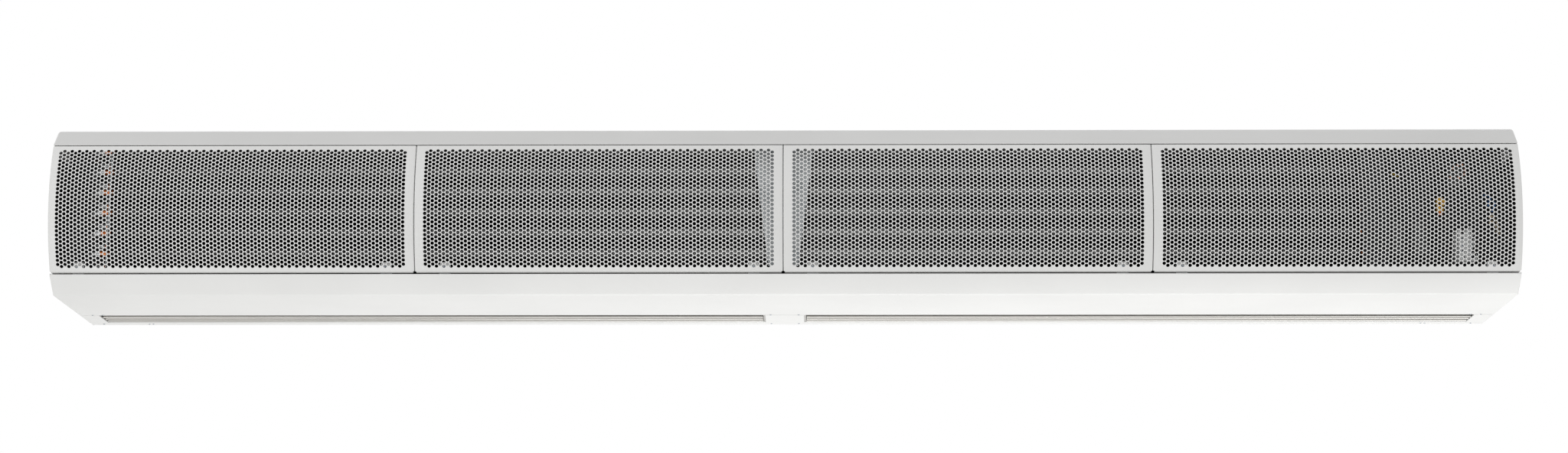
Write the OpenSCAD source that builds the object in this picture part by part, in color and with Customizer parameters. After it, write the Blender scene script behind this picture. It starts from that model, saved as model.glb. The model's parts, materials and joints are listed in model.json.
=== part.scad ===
// Wall-mounted warm-air curtain: a long sheet-steel casing with four curved
// perforated grilles, a hot-water coil, two cross-flow fans and two long
// downward outlets with tilting slats. x runs along the casing, y towards
// the wall and z up. The origin lies on the wall, amid the wall bolts.

/* [Casing] */
// Overall length of the casing
body_l = 2072; // [1980:4:2160]
// Depth from the front of the grilles to the back sheet
casing_d = 280; // [276:1:300]
// Height from the underside to the top
casing_h = 240; // [240:1:270]
// Thickness of the folded steel sheets
sheet_t = 1.5; // [1.2:0.1:1.8]
// How far the underside's front bend lies behind the front
bend_y = 56; // [50:1:70]
// How far the sill under the grilles lies behind the front
sill_y = 28.6; // [28:0.1:30]
// Height of the sill under the grilles
sill_h = 25.7; // [20:0.1:26]
// Depth of the sill's inward fold
sill_fold = 21.4; // [18:0.1:22]
// How far the sloping band of the top cover reaches down from the top
band_drop = 31.4; // [28:0.1:31.6]
// Rise of the band's flat part
band_rise = 21; // [18:0.1:24]
// Run of the band's flat part
band_run = 19.4; // [16:0.1:24]
// Depth of the fold under the band
band_fold = 23; // [22:0.5:24]
// Run of the rounded fold between band and top
round_run = 36; // [28:1:40]

/* [Grilles] */
// Radius of the grilles' curve
curve_r = 230; // [225:1:240]
// Height of the curve's foremost line
curve_h = 141; // [139:0.5:142]
// Height of the grilles' lower edge
grille_bottom = 28; // [27.8:0.1:30]
// Gap between the grilles' upper edge and the band
top_gap = 1.6; // [1.2:0.1:2.6]
// Gap between neighbouring grilles
seam_gap = 1; // [0.6:0.1:1.5]
// How much less margin the outer grilles have at the casing's ends
end_trim = 3; // [0:0.5:6]
// Depth of the grilles' side folds
side_fold = 12; // [9:0.5:12]
// Hole pitch as drawn, four times the real 6 mm, so one hole stands for sixteen
hole_pitch = 24; // [22:1:30]
// Hole diameter as drawn, nearly four times the real one
hole_d = 16.5; // [12:0.1:18]
// Plain margin beside the outermost holes, from the middle of a seam
hole_margin = 13; // [10:0.5:30]
// Distance of a grille's screws from the line between two grilles
screw_side = 41.55; // [30:0.05:60]
// Height of the grille screws
screw_h = 34.4; // [34:0.1:36]
// Opening angle of the grilles, shown closed at 0
grille_open = 0; // [0:1:60]

/* [Grille hinges] */
// Depth of the hinge line behind the grilles' outer face
hinge_depth = 5.54; // [5.5:0.01:6]
// How far the hinge line lies below the grilles' upper edge
hinge_drop = 6; // [5.8:0.1:7]
// Radius of the hinge pins
pin_r = 1.5; // [1.2:0.1:1.8]
// Radius of the round eye on each hinge bracket
eye_r = 3.2; // [3:0.1:3.4]

/* [Outlets] */
// Width of each outlet slot
outlet_w = 58; // [54:1:64]
// Closed stretch of the underside outside each slot
outlet_margin = 25.9; // [22:0.1:66]
// Width of the divider between the outlets
divider_w = 56.8; // [56.8:0.2:90]
// Depth of the strip behind the outlets
rear_lip = 16; // [12:1:18]
// Height of the folds round the slots
lip_h = 12; // [8:1:16]
// Height of the outlet frames
frame_h = 30; // [28:1:34]
// Slats in each outlet
slat_count = 3; // [3:1:3]
// Chord of a slat
slat_chord = 22; // [18:1:23]
// Thickness of a slat
slat_t = 4; // [3:0.1:5]
// Height of the slats' pivots
slat_h = 11.5; // [11.5:0.5:15]
// Room between an outlet's front wall and its first slat
slat_lead = 20; // [18:0.5:21]
// Room between an outlet's last slat and its rear wall
slat_trail = 6.6; // [6.6:0.1:8]
// Length of the cranks that turn the slats
crank_r = 10; // [9:0.5:11]
// Slat angle, upright at 0
slat_tilt = 0; // [-20:1:20]

/* [Coil] */
// Headroom over the coil
coil_head = 20.5; // [20.5:0.5:26]
// Spacing of the tubes in a row
tube_pitch = 30; // [28:0.5:30.5]
// Spacing of the two rows
row_pitch = 26; // [25:0.5:27]
// Radius of the copper tubes
tube_r = 4.8; // [4:0.1:5]
// Height of the fin pack's lower edge
coil_h = 39.5; // [36:0.5:40]
// Depth of the fin pack's front edge
coil_y = 50; // [46:0.5:52]
// Space left of the fin pack for the return bends
bend_space = 73; // [60:0.5:95]
// Length of the compartment right of the fin pack
electrics_l = 214.5; // [205:0.5:255]
// Thickness of a fin as drawn
fin_t = 0.8; // [0.5:0.1:1]
// Pitch of the fins as drawn, twelve times the real 2.5 mm
fin_pitch = 30; // [20:1:40]
// Length of tube that shows past each tube plate
tube_stub = 14; // [10:0.5:16]

/* [Fans] */
// Gap between the coil and the impellers
fan_gap = 16; // [14:0.5:24]
// Height of the fans' axis
fan_h = 128; // [124:0.5:132]
// Blades on each impeller
blade_count = 18; // [14:1:24]
// Depth of a blade along the radius
blade_d = 12; // [9:0.5:14]
// Thickness of a blade
blade_t = 1.4; // [1:0.1:1.8]
// Gap between impeller and scroll where the scroll starts
scroll_gap = 6; // [5:0.5:8]
// Gap between impeller and scroll at the back
scroll_back = 22; // [18:0.5:23]
// Radius of the fans' stub shafts
shaft_r = 5; // [4:0.1:6]
// Radius of a motor's core as a share of the fan's
motor_share = 0.55; // [0.45:0.01:0.58]
// Length of a motor's fixed core
core_l = 52; // [40:1:60]
// Running gap between core and rotor
rotor_gap = 2.5; // [1.5:0.1:3]

/* [Wall and ceiling fixings] */
// Gap between the back sheet and the wall
wall_gap = 10; // [9:0.5:14]
// Height of the wall bolts' middle above the underside
bolt_h = 120; // [110:1:122]
// Distance between the two wall brackets
bracket_span = 1400; // [800:10:1600]
// Width of a wall bracket
bracket_w = 90; // [60:1:120]
// Height of the brackets' upper fold above the bolts' middle
bracket_top = 52; // [50:1:54]
// How far the hanger rail reaches past the middle of the brackets
rail_over = 80; // [50:1:120]
// Height between the bolts of a bracket
bolt_span = 80; // [60:1:84]
// Radius of the wall bolt holes
bolt_r = 4.5; // [3.5:0.1:5.5]
// Distance between the ceiling inserts along the casing
insert_span = 1800; // [1000:10:1840]
// Distance between the ceiling inserts across the casing
insert_gap = 130; // [110:1:130]
// Bore radius of the ceiling inserts
insert_r = 3.4; // [2.5:0.1:4]

/* [Water and supply] */
// Radius of the water connections
union_r = 10.5; // [8:0.1:12]
// Length of the water connections
union_l = 17.5; // [12:0.5:17.5]
// Distance of the flow pipe from the fin pack's end
flow_x = 38; // [34:1:44]
// Distance of the return pipe from the fin pack's end
return_x = 118; // [112:1:122]
// Distance of the terminal block's left side from the right end plate
block_gap = 78.5; // [76:0.5:84]
// Distance of the cable gland from the right end plate
gland_gap = 38.5; // [30:0.5:44]
// Distance of the cable gland behind the coil
gland_back = 60; // [40:1:100]
// Bore radius of the cable gland
gland_r = 5; // [3:0.1:6]

/* [Hidden] */

$fn = 64;
white_c = "whitesmoke";
galv_c = "lightgray";
fit_gap = 0.3;      // between pieces that move past each other
close_gap = 0.05;   // round shafts, pins and pressed tubes

half_l = body_l / 2;
sheet_x = half_l - sheet_t;          // where sheets meet the end plates
outlet_back = casing_d - rear_lip;
outlet_front = outlet_back - outlet_w;
outlet_in = divider_w / 2;
outlet_out = sheet_x - outlet_margin;
panel_pitch = (body_l + 2 * end_trim) / 4;
screw_x = panel_pitch / 2 - screw_side;

band_h = casing_h - band_drop;
grille_top = band_h - top_gap;
hinge_h = grille_top - hinge_drop;
hinge_y = front_y(hinge_h) + hinge_depth;
band_y = front_y(band_h) + 0.4;
band_top = [band_y + band_run, band_h + band_rise];
round_end = band_top[0] + round_run;

slat_wall = 1.5;                     // outlet frame's wall
frame_front = outlet_front + 0.2;
frame_back = outlet_back - 0.2;
slat_pitch = (frame_back - frame_front - 2 * slat_wall - slat_lead - slat_trail) / (slat_count - 1);
frame_end = 3;                       // outlet frame's end walls, which carry the pivots
frame_top = sheet_t + frame_h;
pivot_r = 1.6;
crank_t = 2;

coil_left = -sheet_x + bend_space;
coil_right = sheet_x - electrics_l;
tube_count = floor((casing_h - coil_h - coil_head) / tube_pitch);
fin_h = tube_count * tube_pitch;
fin_d = 2 * row_pitch;
coil_top = coil_h + fin_h;
coil_back = coil_y + fin_d;
front_row = coil_y + row_pitch / 2;
rear_row = front_row + row_pitch;
tube_low = coil_h + tube_pitch / 4;  // lowest rear tube
bend_r = norm([row_pitch, tube_pitch / 2]) / 2;

fan_r = (outlet_back - 4 - scroll_back - coil_back - fan_gap) / 2;
fan_y = coil_back + fan_gap + fan_r;
cheek_t = sheet_t;
fan_in = outlet_in + 3;              // inner end of an impeller
fan_out = outlet_out - 6;
disc_t = 2;
rotor_t = 3;
core_r = fan_r * motor_share;
core_in = outlet_out - 3 - core_l;   // inner face of a motor's core
rotor_base = core_in - 5 - rotor_t;
motor_shaft_r = 6;

plate_y = coil_back - 6;             // electrics plate's front face
bracket_t = 3;
union_base = casing_h - 0.5 - union_l;
union_y = coil_y + 32;               // under the flat of the top cover

// Depth of the grilles' curve at height h
function front_y(h) = curve_r - sqrt(pow(curve_r, 2) - pow(h - curve_h, 2));

// Left-hand normal of the way from a to b
function normal(a, b) = [a[1] - b[1], b[0] - a[0]] / norm(b - a);

// Point i of an open line, moved t to its left with sharp corners
function beside(line, i, t) =
    let (last = len(line) - 1,
         n1 = normal(line[max(i - 1, 0)], line[max(i, 1)]),
         n2 = normal(line[min(i, last - 1)], line[min(i + 1, last)]))
    line[i] + (n1 + n2) * t / (1 + n1 * n2);

// Outline of a folded sheet that lies t to the left of a line
function folded(line, t) = concat(line,
    [for (i = [len(line) - 1 : -1 : 0]) beside(line, i, t)]);

// Quadratic curve from a to c with b as its corner
function bow(a, b, c, steps) = [for (i = [0 : steps])
    let (s = i / steps) a * pow(1 - s, 2) + b * 2 * s * (1 - s) + c * pow(s, 2)];

// Rounded fold between the band and the top
function top_round() = bow(band_top,
    [band_top[0] + (casing_h - band_top[1]) * band_run / band_rise, casing_h],
    [round_end, casing_h], 6);

// Outer outline of the whole casing, seen from its right end
function casing_line() = concat(
    [[bend_y, 0], [casing_d, 0], [casing_d, casing_h]],
    [for (i = [6 : -1 : 0]) top_round()[i]],
    [[band_y, band_h]],
    [for (i = [16 : -1 : 0]) let (h = sill_h + (band_h - sill_h) * i / 16)
        [i == 0 ? sill_y : front_y(h), h]]);

// Casing frame: y runs back from the front and z up from the underside
module in_casing() {
    translate([0, -casing_d - wall_gap, -bolt_h]) children();
}

// Extrudes a y-z outline along x between two places
module along(x1, x2) {
    translate([x1, 0, 0]) rotate([90, 0, 90]) linear_extrude(x2 - x1) children();
}

// Cylinder along x between two places
module rod_x(x1, x2, r) {
    translate([x1, 0, 0]) rotate([0, 90, 0]) cylinder(h = x2 - x1, r = r);
}

// Cylinder along y between two places
module rod_y(y1, y2, r) {
    translate([0, y1, 0]) rotate([-90, 0, 0]) cylinder(h = y2 - y1, r = r);
}

// Draws the right-hand piece, or its mirror image on the left
module on_side(side) {
    mirror([side < 0 ? 1 : 0, 0, 0]) children();
}

// Ring i of a wire's surface round its route
function ring(route, i, r, sides) =
    let (last = len(route) - 1,
         way = route[min(i + 1, last)] - route[max(i - 1, 0)],
         across = cross(way, [0.6, 0.1, 0.8]),
         u = across / norm(across),
         v = cross(u, way) / norm(way))
    [for (k = [0 : sides - 1]) route[i] + r * (u * cos(k * 360 / sides) + v * sin(k * 360 / sides))];

// Wire along a route, one ring of points at each place
module wire(route, r) {
    sides = 8;
    rings = len(route);
    points = [for (i = [0 : rings - 1]) each ring(route, i, r, sides)];
    walls = [for (i = [0 : rings - 2], k = [0 : sides - 1])
        [i * sides + k, (i + 1) * sides + k, (i + 1) * sides + (k + 1) % sides, i * sides + (k + 1) % sides]];
    polyhedron(points, concat([[for (k = [0 : sides - 1]) k]],
        [[for (k = [sides - 1 : -1 : 0]) (rings - 1) * sides + k]], walls));
}

// Rounds a route's inner corners with three points each
function eased(route, reach) = concat([route[0]],
    [for (i = [1 : len(route) - 2])
        let (a = route[i - 1] - route[i], b = route[i + 1] - route[i],
             p = route[i] + a * reach / norm(a), q = route[i] + b * reach / norm(b))
        each [p, (p + q) / 4 + route[i] / 2, q]],
    [route[len(route) - 1]]);

// Round bar through a list of points with ball corners
module bar_through(points, r) {
    for (i = [0 : len(points) - 2]) {
        way = points[i + 1] - points[i];
        translate(points[i]) rotate([0, acos(way[2] / norm(way)), atan2(way[1], way[0])])
            cylinder(h = norm(way), r = r, $fn = 24);
        if (i > 0) translate(points[i]) sphere(r, $fn = 24);
    }
}

// ---- casing ----

module rear_panel() {
    line = [[outlet_back, lip_h], [outlet_back, 0], [casing_d, 0],
            [casing_d, casing_h - sheet_t], [casing_d - 18, casing_h - sheet_t]];
    color(white_c) in_casing() along(-sheet_x, sheet_x) polygon(folded(line, sheet_t));
}

module top_cover() {
    line = concat([[band_y + band_fold, band_h], [band_y, band_h]], top_round(),
                  [[casing_d, casing_h]]);
    color("gainsboro") in_casing() difference() {
        along(-sheet_x, sheet_x) polygon(folded(line, -sheet_t));
        at_inserts() cylinder(h = 40, r = insert_r + 2.6, center = true);
        for (spot = union_spots())
            translate([spot[0], spot[1], casing_h]) cylinder(h = 20, r = union_r + 4, center = true);
        translate([gland_x(), gland_y(), casing_h]) cylinder(h = 20, r = gland_r + 3, center = true);
    }
}

module lower_panel() {
    line = [[sill_y + sill_fold, sill_h], [sill_y, sill_h], [bend_y, 0],
            [outlet_front, 0], [outlet_front, lip_h]];
    color(white_c) in_casing() along(-sheet_x, sheet_x) polygon(folded(line, sheet_t));
}

module end_plate() {
    color(white_c) in_casing() along(sheet_x, half_l) polygon(casing_line());
}

module end_plate_left() on_side(-1) end_plate();
module end_plate_right() on_side(1) end_plate();

// Flat strip with two upturned sides that closes the slot between x1 and x2
module slot_cover(x1, x2) {
    along(x1, x2) polygon([[outlet_front, 0], [outlet_back, 0], [outlet_back, sheet_t],
                           [outlet_front, sheet_t]]);
}

module centre_divider() {
    color(white_c) in_casing() {
        slot_cover(-outlet_in, outlet_in);
        for (side = [-1, 1]) on_side(side) translate([outlet_in - sheet_t, 0, 0])
            along(0, sheet_t) translate([outlet_front + 0.2, sheet_t])
                square([outlet_w - 0.4, frame_h - sheet_t]);
    }
}

module outlet_ends() {
    color(white_c) in_casing() for (side = [-1, 1]) on_side(side)
        slot_cover(outlet_out, sheet_x);
}

// Blind rivets that hold the slot covers and the frames
module casing_rivets() {
    head_r = 2;
    head_h = 0.8;
    spots = [[outlet_out + 8, outlet_front - 5], [outlet_out - 7, outlet_front - 5],
             [outlet_out + 8, outlet_back + 5], [outlet_out - 60, outlet_back + 5],
             [outlet_out - 66, outlet_back + 5], [outlet_in - 8, outlet_front - 5],
             [outlet_in - 8, outlet_back + 5]];
    color("silver") in_casing() for (side = [-1, 1], spot = spots)
        on_side(side) translate([spot[0], spot[1], -head_h]) cylinder(h = head_h, r = head_r);
}

// ---- grilles ----

// Curved strip of the grilles, outline in y and z, as thick as t
module curve_strip(h1, h2, t) {
    reach = curve_r * 2;
    intersection() {
        translate([curve_r, curve_h]) difference() {
            circle(curve_r, $fn = 180);
            circle(curve_r - t, $fn = 180);
        }
        translate([-1, h1]) square([curve_r / 2, h2 - h1]);
    }
}

module grille_holes(mid) {
    column = hole_pitch * sqrt(3) / 2;
    columns = floor((panel_pitch / 2 - hole_margin - hole_d / 2) / column);
    low = asin((grille_bottom + hole_margin / 2 - curve_h) / curve_r);
    high = asin((grille_top - hole_margin / 2 - curve_h) / curve_r);
    step = hole_pitch / 2 / curve_r * 180 / PI;
    middle = (low + high) / 2;
    rows = floor(((high - low) / 2 - asin(hole_d / 2 / curve_r) + 1.1) / step);
    for (c = [-columns : columns], row = [-rows : rows]) if ((c + row) % 2 == 0)
        translate([mid + c * column, curve_r, curve_h]) rotate([-middle - row * step, 0, 0])
            rod_y(-curve_r - 5, -curve_r + 8, hole_d / 2);
}

// Fold lines and tabs of one grille between x1 and x2, with its holes round mid
module grille_panel(x1, x2, mid) {
    tab_w = 24;
    tab_y = sill_y + 8;
    flange_y = front_y(grille_bottom);
    difference() {
        union() {
            along(x1, x2) curve_strip(grille_bottom, grille_top, sheet_t);
            along(x1, x2) translate([flange_y + 0.5, grille_bottom])
                square([tab_y + sheet_t - flange_y - 0.5, sheet_t]);
            for (x = [x1, x2 - sheet_t]) along(x, x + sheet_t) {
                curve_strip(grille_bottom, hinge_h, side_fold);
                translate([hinge_y, hinge_h]) circle(eye_r + 1.2);
            }
            for (side = [-1, 1]) translate([mid + side * screw_x - tab_w / 2, tab_y, grille_bottom])
                cube([tab_w, sheet_t, 16]);
        }
        grille_holes(mid);
        for (side = [-1, 1]) translate([mid + side * screw_x, 0, screw_h]) {
            rod_y(-1, tab_y - 1, 4.2);
            rod_y(tab_y - 1, tab_y + 5, 2.1);
        }
        translate([0, hinge_y, hinge_h]) rod_x(x1 - 1, x2 + 1, pin_r + close_gap);
    }
}

function seam(i) = i == 0 ? -sheet_x : i == 4 ? sheet_x : (i - 2) * panel_pitch;
function grille_from(i) = seam(i - 1) + seam_gap / 2;
function grille_to(i) = seam(i) - seam_gap / 2;
function grille_mid(i) = (i - 2.5) * panel_pitch;

// Turns a grille's pieces open about the hinge line
module swing() {
    translate([0, hinge_y, hinge_h]) rotate([-grille_open, 0, 0])
        translate([0, -hinge_y, -hinge_h]) children();
}

module grille(i) {
    color(white_c) in_casing() swing() grille_panel(grille_from(i), grille_to(i), grille_mid(i));
}

// Two cross-head screws and two hinge pins of one grille
module grille_fixings(i) {
    head_y = sill_y + 8;
    pin_l = 12;
    color("slategray") in_casing() swing() {
        for (side = [-1, 1]) translate([grille_mid(i) + side * screw_x, 0, screw_h]) difference() {
            union() {
                rod_y(head_y - 3, head_y, 3.6);
                rod_y(head_y - 0.01, head_y + 4.4, 2);
            }
            for (turn = [0, 90]) translate([0, head_y - 3, 0]) rotate([0, turn, 0])
                cube([4.4, 2.4, 0.9], center = true);
        }
        translate([grille_from(i), hinge_y, hinge_h]) rod_x(0, pin_l, pin_r);
        translate([grille_to(i) - pin_l, hinge_y, hinge_h]) rod_x(0, pin_l, pin_r);
    }
}

// Eyes on the fold under the band that the grilles' pins turn in
module hinge_brackets() {
    eye_t = 3;
    inset = 6;
    leg_y = band_y + band_fold - 12;
    color(galv_c) in_casing() for (i = [1 : 4], x = [grille_from(i) + inset, grille_to(i) - inset - eye_t])
        difference() {
            along(x, x + eye_t) {
                translate([hinge_y, hinge_h]) circle(eye_r);
                translate([hinge_y, hinge_h - 3]) square([leg_y + 8 - hinge_y, 5]);
                translate([leg_y, hinge_h - 3]) square([8, band_h - hinge_h + 3]);
            }
            translate([0, hinge_y, hinge_h]) rod_x(x - 1, x + eye_t + 1, pin_r + close_gap);
        }
}

// Upright catches on the sill that the grille screws turn in
module grille_catches() {
    catch_y = sill_y + 8 + sheet_t + fit_gap;
    color(galv_c) in_casing() for (i = [1 : 4], side = [-1, 1])
        translate([grille_mid(i) + side * screw_x, 0, 0]) difference() {
            union() {
                translate([-8, catch_y, sill_h]) cube([16, 2, 16]);
                translate([-8, catch_y, sill_h]) cube([16, 9, 1.5]);
            }
            translate([0, 0, screw_h]) rod_y(catch_y - 1, catch_y + 5, 2.7);
        }
}

// ---- coil ----

// Tapered post that stiffens the casing between the two inner grilles
module centre_bracket() {
    post_y = coil_y - 12;
    low_w = 42;
    high_w = 88;
    foot = coil_h - sheet_t;
    color(galv_c) in_casing() {
        translate([0, post_y + sheet_t, 0]) rotate([90, 0, 0]) linear_extrude(sheet_t)
            polygon([[-low_w / 2, foot], [low_w / 2, foot], [high_w / 2, coil_top + sheet_t],
                     [-high_w / 2, coil_top + sheet_t]]);
        for (end = [[foot, low_w], [coil_top, high_w - 2]]) translate([-end[1] / 2, post_y, end[0]])
            cube([end[1], coil_y - post_y, sheet_t]);
    }
}

// Centres of the tubes, row by row: rear tubes lie half a pitch lower
function tube_at(k) = let (row = k % 2, n = floor(k / 2))
    [row == 0 ? rear_row : front_row, tube_low + tube_pitch * n + (row == 0 ? 0 : tube_pitch / 2)];

tube_total = 2 * tube_count;

module tube_holes(x, r) {
    for (k = [0 : tube_total - 1]) translate([0, tube_at(k)[0], tube_at(k)[1]])
        rod_x(x - 5, x + 5, r);
}

module coil_fins() {
    fins = floor((coil_right - coil_left - 8) / fin_pitch);
    first = (coil_left + coil_right) / 2 - fins * fin_pitch / 2;
    color("silver") in_casing() for (i = [0 : fins]) {
        x = first + i * fin_pitch;
        difference() {
            translate([x - fin_t / 2, coil_y, coil_h]) cube([fin_t, fin_d, fin_h]);
            tube_holes(x, tube_r + close_gap);
        }
    }
}

module coil_end_plates() {
    color(galv_c) in_casing() for (x = [coil_left - sheet_t, coil_right]) difference() {
        translate([x, coil_y, coil_h]) cube([sheet_t, fin_d, fin_h]);
        tube_holes(x, tube_r + close_gap);
    }
}

// U-bend between tubes a and b at the end x, bulging towards side
module tube_bend(a, b, x, side) {
    way = b - a;
    mid = (a + b) / 2;
    translate([x, mid[0], mid[1]]) rotate([atan2(way[1], way[0]), 0, 0])
        intersection() {
            rotate_extrude($fn = 64) translate([norm(way) / 2, 0]) circle(tube_r, $fn = 32);
            translate([side > 0 ? 0 : -50, -50, -50]) cube([50, 100, 100]);
        }
}

module coil_tubes() {
    left = coil_left - sheet_t - tube_stub;
    right = coil_right + sheet_t + tube_stub;
    color("peru") in_casing() {
        for (k = [0 : tube_total - 1]) translate([0, tube_at(k)[0], tube_at(k)[1]])
            rod_x(left + close_gap, right - close_gap, tube_r, $fn = 32);
        for (k = [0 : 2 : tube_total - 2]) tube_bend(tube_at(k), tube_at(k + 1), left, -1);
        for (k = [1 : 2 : tube_total - 3]) tube_bend(tube_at(k), tube_at(k + 1), right, 1);
    }
}

// Shelves above and below the fin pack, from end plate to end plate, and the sheet that closes
// the casing left of the pack
module coil_rails() {
    color(galv_c) in_casing() {
        along(-sheet_x, sheet_x) polygon([[coil_y, coil_h - sheet_t], [coil_back + sheet_t, coil_h - sheet_t],
            [coil_back + sheet_t, coil_h + 10], [coil_back, coil_h + 10], [coil_back, coil_h], [coil_y, coil_h]]);
        difference() {
            along(-sheet_x, sheet_x) polygon([[coil_y, coil_top + sheet_t],
                [coil_back + sheet_t, coil_top + sheet_t], [coil_back + sheet_t, coil_top - 10],
                [coil_back, coil_top - 10], [coil_back, coil_top], [coil_y, coil_top]]);
            for (spot = union_spots()) translate([spot[0], spot[1], coil_top])
                cylinder(h = 10, r = tube_r + 1, center = true);
        }
        translate([-sheet_x, coil_back, coil_h])
            cube([coil_left - sheet_t + sheet_x, sheet_t, fin_h]);
    }
}

// Places of the two water connections
function union_spots() = [[coil_right + flow_x, union_y], [coil_right + return_x, union_y]];

module water_union(x, y) {
    translate([x, y, union_base]) difference() {
        cylinder(h = union_l, r = union_r);
        translate([0, 0, 4]) cylinder(h = union_l, r = union_r - 3.5);
    }
}

module flow_pipe() {
    top = tube_at(tube_total - 1);
    x = union_spots()[0][0];
    start = coil_right + sheet_t + tube_stub;
    color("peru") in_casing() {
        bar_through([[start, top[0], top[1]], [x, top[0], top[1]], [x, union_y, top[1]],
                     [x, union_y, union_base]], tube_r);
        water_union(x, union_y);
    }
}

module return_pipe() {
    low = tube_at(0);
    x = union_spots()[1][0];
    start = coil_right + sheet_t + tube_stub;
    color("peru") in_casing() {
        bar_through([[start, low[0], low[1]], [x, low[0], low[1]], [x, union_y, low[1]],
                     [x, union_y, union_base]], tube_r);
        water_union(x, union_y);
    }
}

// Brass bleed valve clamped on the return pipe
module bleed_valve() {
    x = union_spots()[1][0];
    h = coil_h + fin_h / 2;
    color("gold") in_casing() translate([x, union_y, h - 5]) {
        difference() {
            cylinder(h = 20, r = tube_r + 4, $fn = 32);
            translate([0, 0, -1]) cylinder(h = 22, r = tube_r + close_gap, $fn = 32);
        }
        translate([0, 0, 10]) difference() {
            rod_y(-20, 0, 4);
            translate([0, 0, -12]) cylinder(h = 24, r = tube_r + 3, $fn = 32);
            rod_y(-21, -16, 2);
        }
    }
}

// ---- fans ----

// Place on the scroll at angle a round the fan
function scroll_at(a, r) = [fan_y + r * cos(a), fan_h + r * sin(a)];

scroll_from = 115;

// Wall of the scroll from the coil's top over the fan and down to the outlet
function scroll_line() = concat(
    [[coil_back + 4, coil_top]],
    [for (i = [0 : 12]) let (a = scroll_from * (1 - i / 12))
        scroll_at(a, fan_r + scroll_gap + (scroll_back - scroll_gap) * i / 12)],
    [[frame_back - slat_wall, frame_top]]);

// Wall from the coil's foot to the tongue's tip and down to the outlet
function tongue_line() = [[coil_back + 4, coil_h + 12], scroll_at(-125, fan_r + scroll_gap),
                          [frame_front + slat_wall, frame_top + sheet_t]];

module scroll() {
    color(galv_c) in_casing() along(outlet_in, outlet_out) polygon(folded(scroll_line(), sheet_t));
}

module tongue() {
    color(galv_c) in_casing() along(outlet_in, outlet_out) polygon(folded(tongue_line(), -sheet_t));
}

module scroll_left() on_side(-1) scroll();
module scroll_right() on_side(1) scroll();
module tongue_left() on_side(-1) tongue();
module tongue_right() on_side(1) tongue();

// Upright plates at both ends of a fan
module fan_cheeks() {
    low = frame_top + 4;
    high = casing_h - 6;
    front = coil_back + 4;
    color(galv_c) in_casing() for (end = [[outlet_in - cheek_t, shaft_r + 3], [outlet_out, 20]])
        difference() {
            translate([end[0], front, low]) cube([cheek_t, casing_d - sheet_t - front, high - low]);
            translate([0, fan_y, fan_h]) rod_x(end[0] - 1, end[0] + cheek_t + 1, end[1]);
        }
}

module fan_cheeks_left() on_side(-1) fan_cheeks();
module fan_cheeks_right() on_side(1) fan_cheeks();

// Curved blade between the inner and the outer radius
module blade_outline() {
    steps = 3;
    lean = 26;
    line = [for (i = [0 : steps]) let (s = i / steps, r = fan_r - 0.3 - blade_d * (1 - s),
                                       a = lean * s * s * 0.5)
        [r * cos(a), r * sin(a)]];
    polygon(folded(line, blade_t));
}

module impeller() {
    sections = 5;
    span = fan_out - fan_in - disc_t;
    color("silver") in_casing() translate([0, fan_y, fan_h]) {
        along(fan_in, fan_out) for (i = [0 : blade_count - 1])
            rotate(i * 360 / blade_count) blade_outline();
        for (i = [1 : sections]) translate([fan_in + i * span / sections, 0, 0]) difference() {
            rod_x(0, disc_t, fan_r);
            rod_x(-1, disc_t + 1, fan_r - blade_d - 2);
        }
        rod_x(fan_in, fan_in + disc_t, fan_r);
        rod_x(rotor_base - disc_t, rotor_base, fan_r);
        rod_x(outlet_in - 13, fan_in + 1, shaft_r);
    }
}

module impeller_left() on_side(-1) impeller();
module impeller_right() on_side(1) impeller();

// Spinning cup and shaft of a motor
module rotor() {
    cup_r = core_r + rotor_gap;
    color("dimgray") in_casing() translate([0, fan_y, fan_h]) {
        difference() {
            rod_x(rotor_base, outlet_out - 9, cup_r + rotor_t);
            rod_x(rotor_base + rotor_t, outlet_out, cup_r);
        }
        rod_x(rotor_base + rotor_t - 0.01, outlet_out - 8, motor_shaft_r);
    }
}

module rotor_left() on_side(-1) rotor();
module rotor_right() on_side(1) rotor();

// Fixed core of a motor on its flange
module motor() {
    color("darkslategray") in_casing() translate([0, fan_y, fan_h]) difference() {
        union() {
            rod_x(core_in, outlet_out - 1, core_r);
            rod_x(outlet_out - 3, outlet_out, core_r + 12);
        }
        rod_x(core_in - 1, outlet_out - 6, motor_shaft_r + close_gap);
    }
}

module motor_left() on_side(-1) motor();
module motor_right() on_side(1) motor();

// Rubber-mounted plain bearings on the inner cheeks
module bearings() {
    color("black") in_casing() for (side = [-1, 1]) on_side(side) translate([0, fan_y, fan_h])
        difference() {
            union() {
                rod_x(outlet_in - cheek_t - 12, outlet_in - cheek_t, shaft_r + 8);
                rod_x(outlet_in - cheek_t - 3, outlet_in - cheek_t, shaft_r + 15);
            }
            rod_x(outlet_in - cheek_t - 20, outlet_in, shaft_r + close_gap);
        }
}

// ---- outlets ----

function slat_y(n) = frame_front + slat_wall + slat_lead + slat_pitch * (n - 1);

module outlet_frame() {
    x1 = outlet_in;
    x2 = outlet_out;
    color("silver") in_casing() difference() {
        translate([x1, frame_front, sheet_t]) cube([x2 - x1 + frame_end, frame_back - frame_front, frame_h]);
        translate([x1 + frame_end, frame_front + slat_wall, 0])
            cube([x2 - x1 - frame_end, frame_back - frame_front - 2 * slat_wall, frame_top + 1]);
        for (n = [1 : slat_count]) translate([0, slat_y(n), slat_h])
            rod_x(x1 - 1, x2 + frame_end + 1, pivot_r + close_gap);
    }
}

module outlet_frame_left() on_side(-1) outlet_frame();
module outlet_frame_right() on_side(1) outlet_frame();

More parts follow.
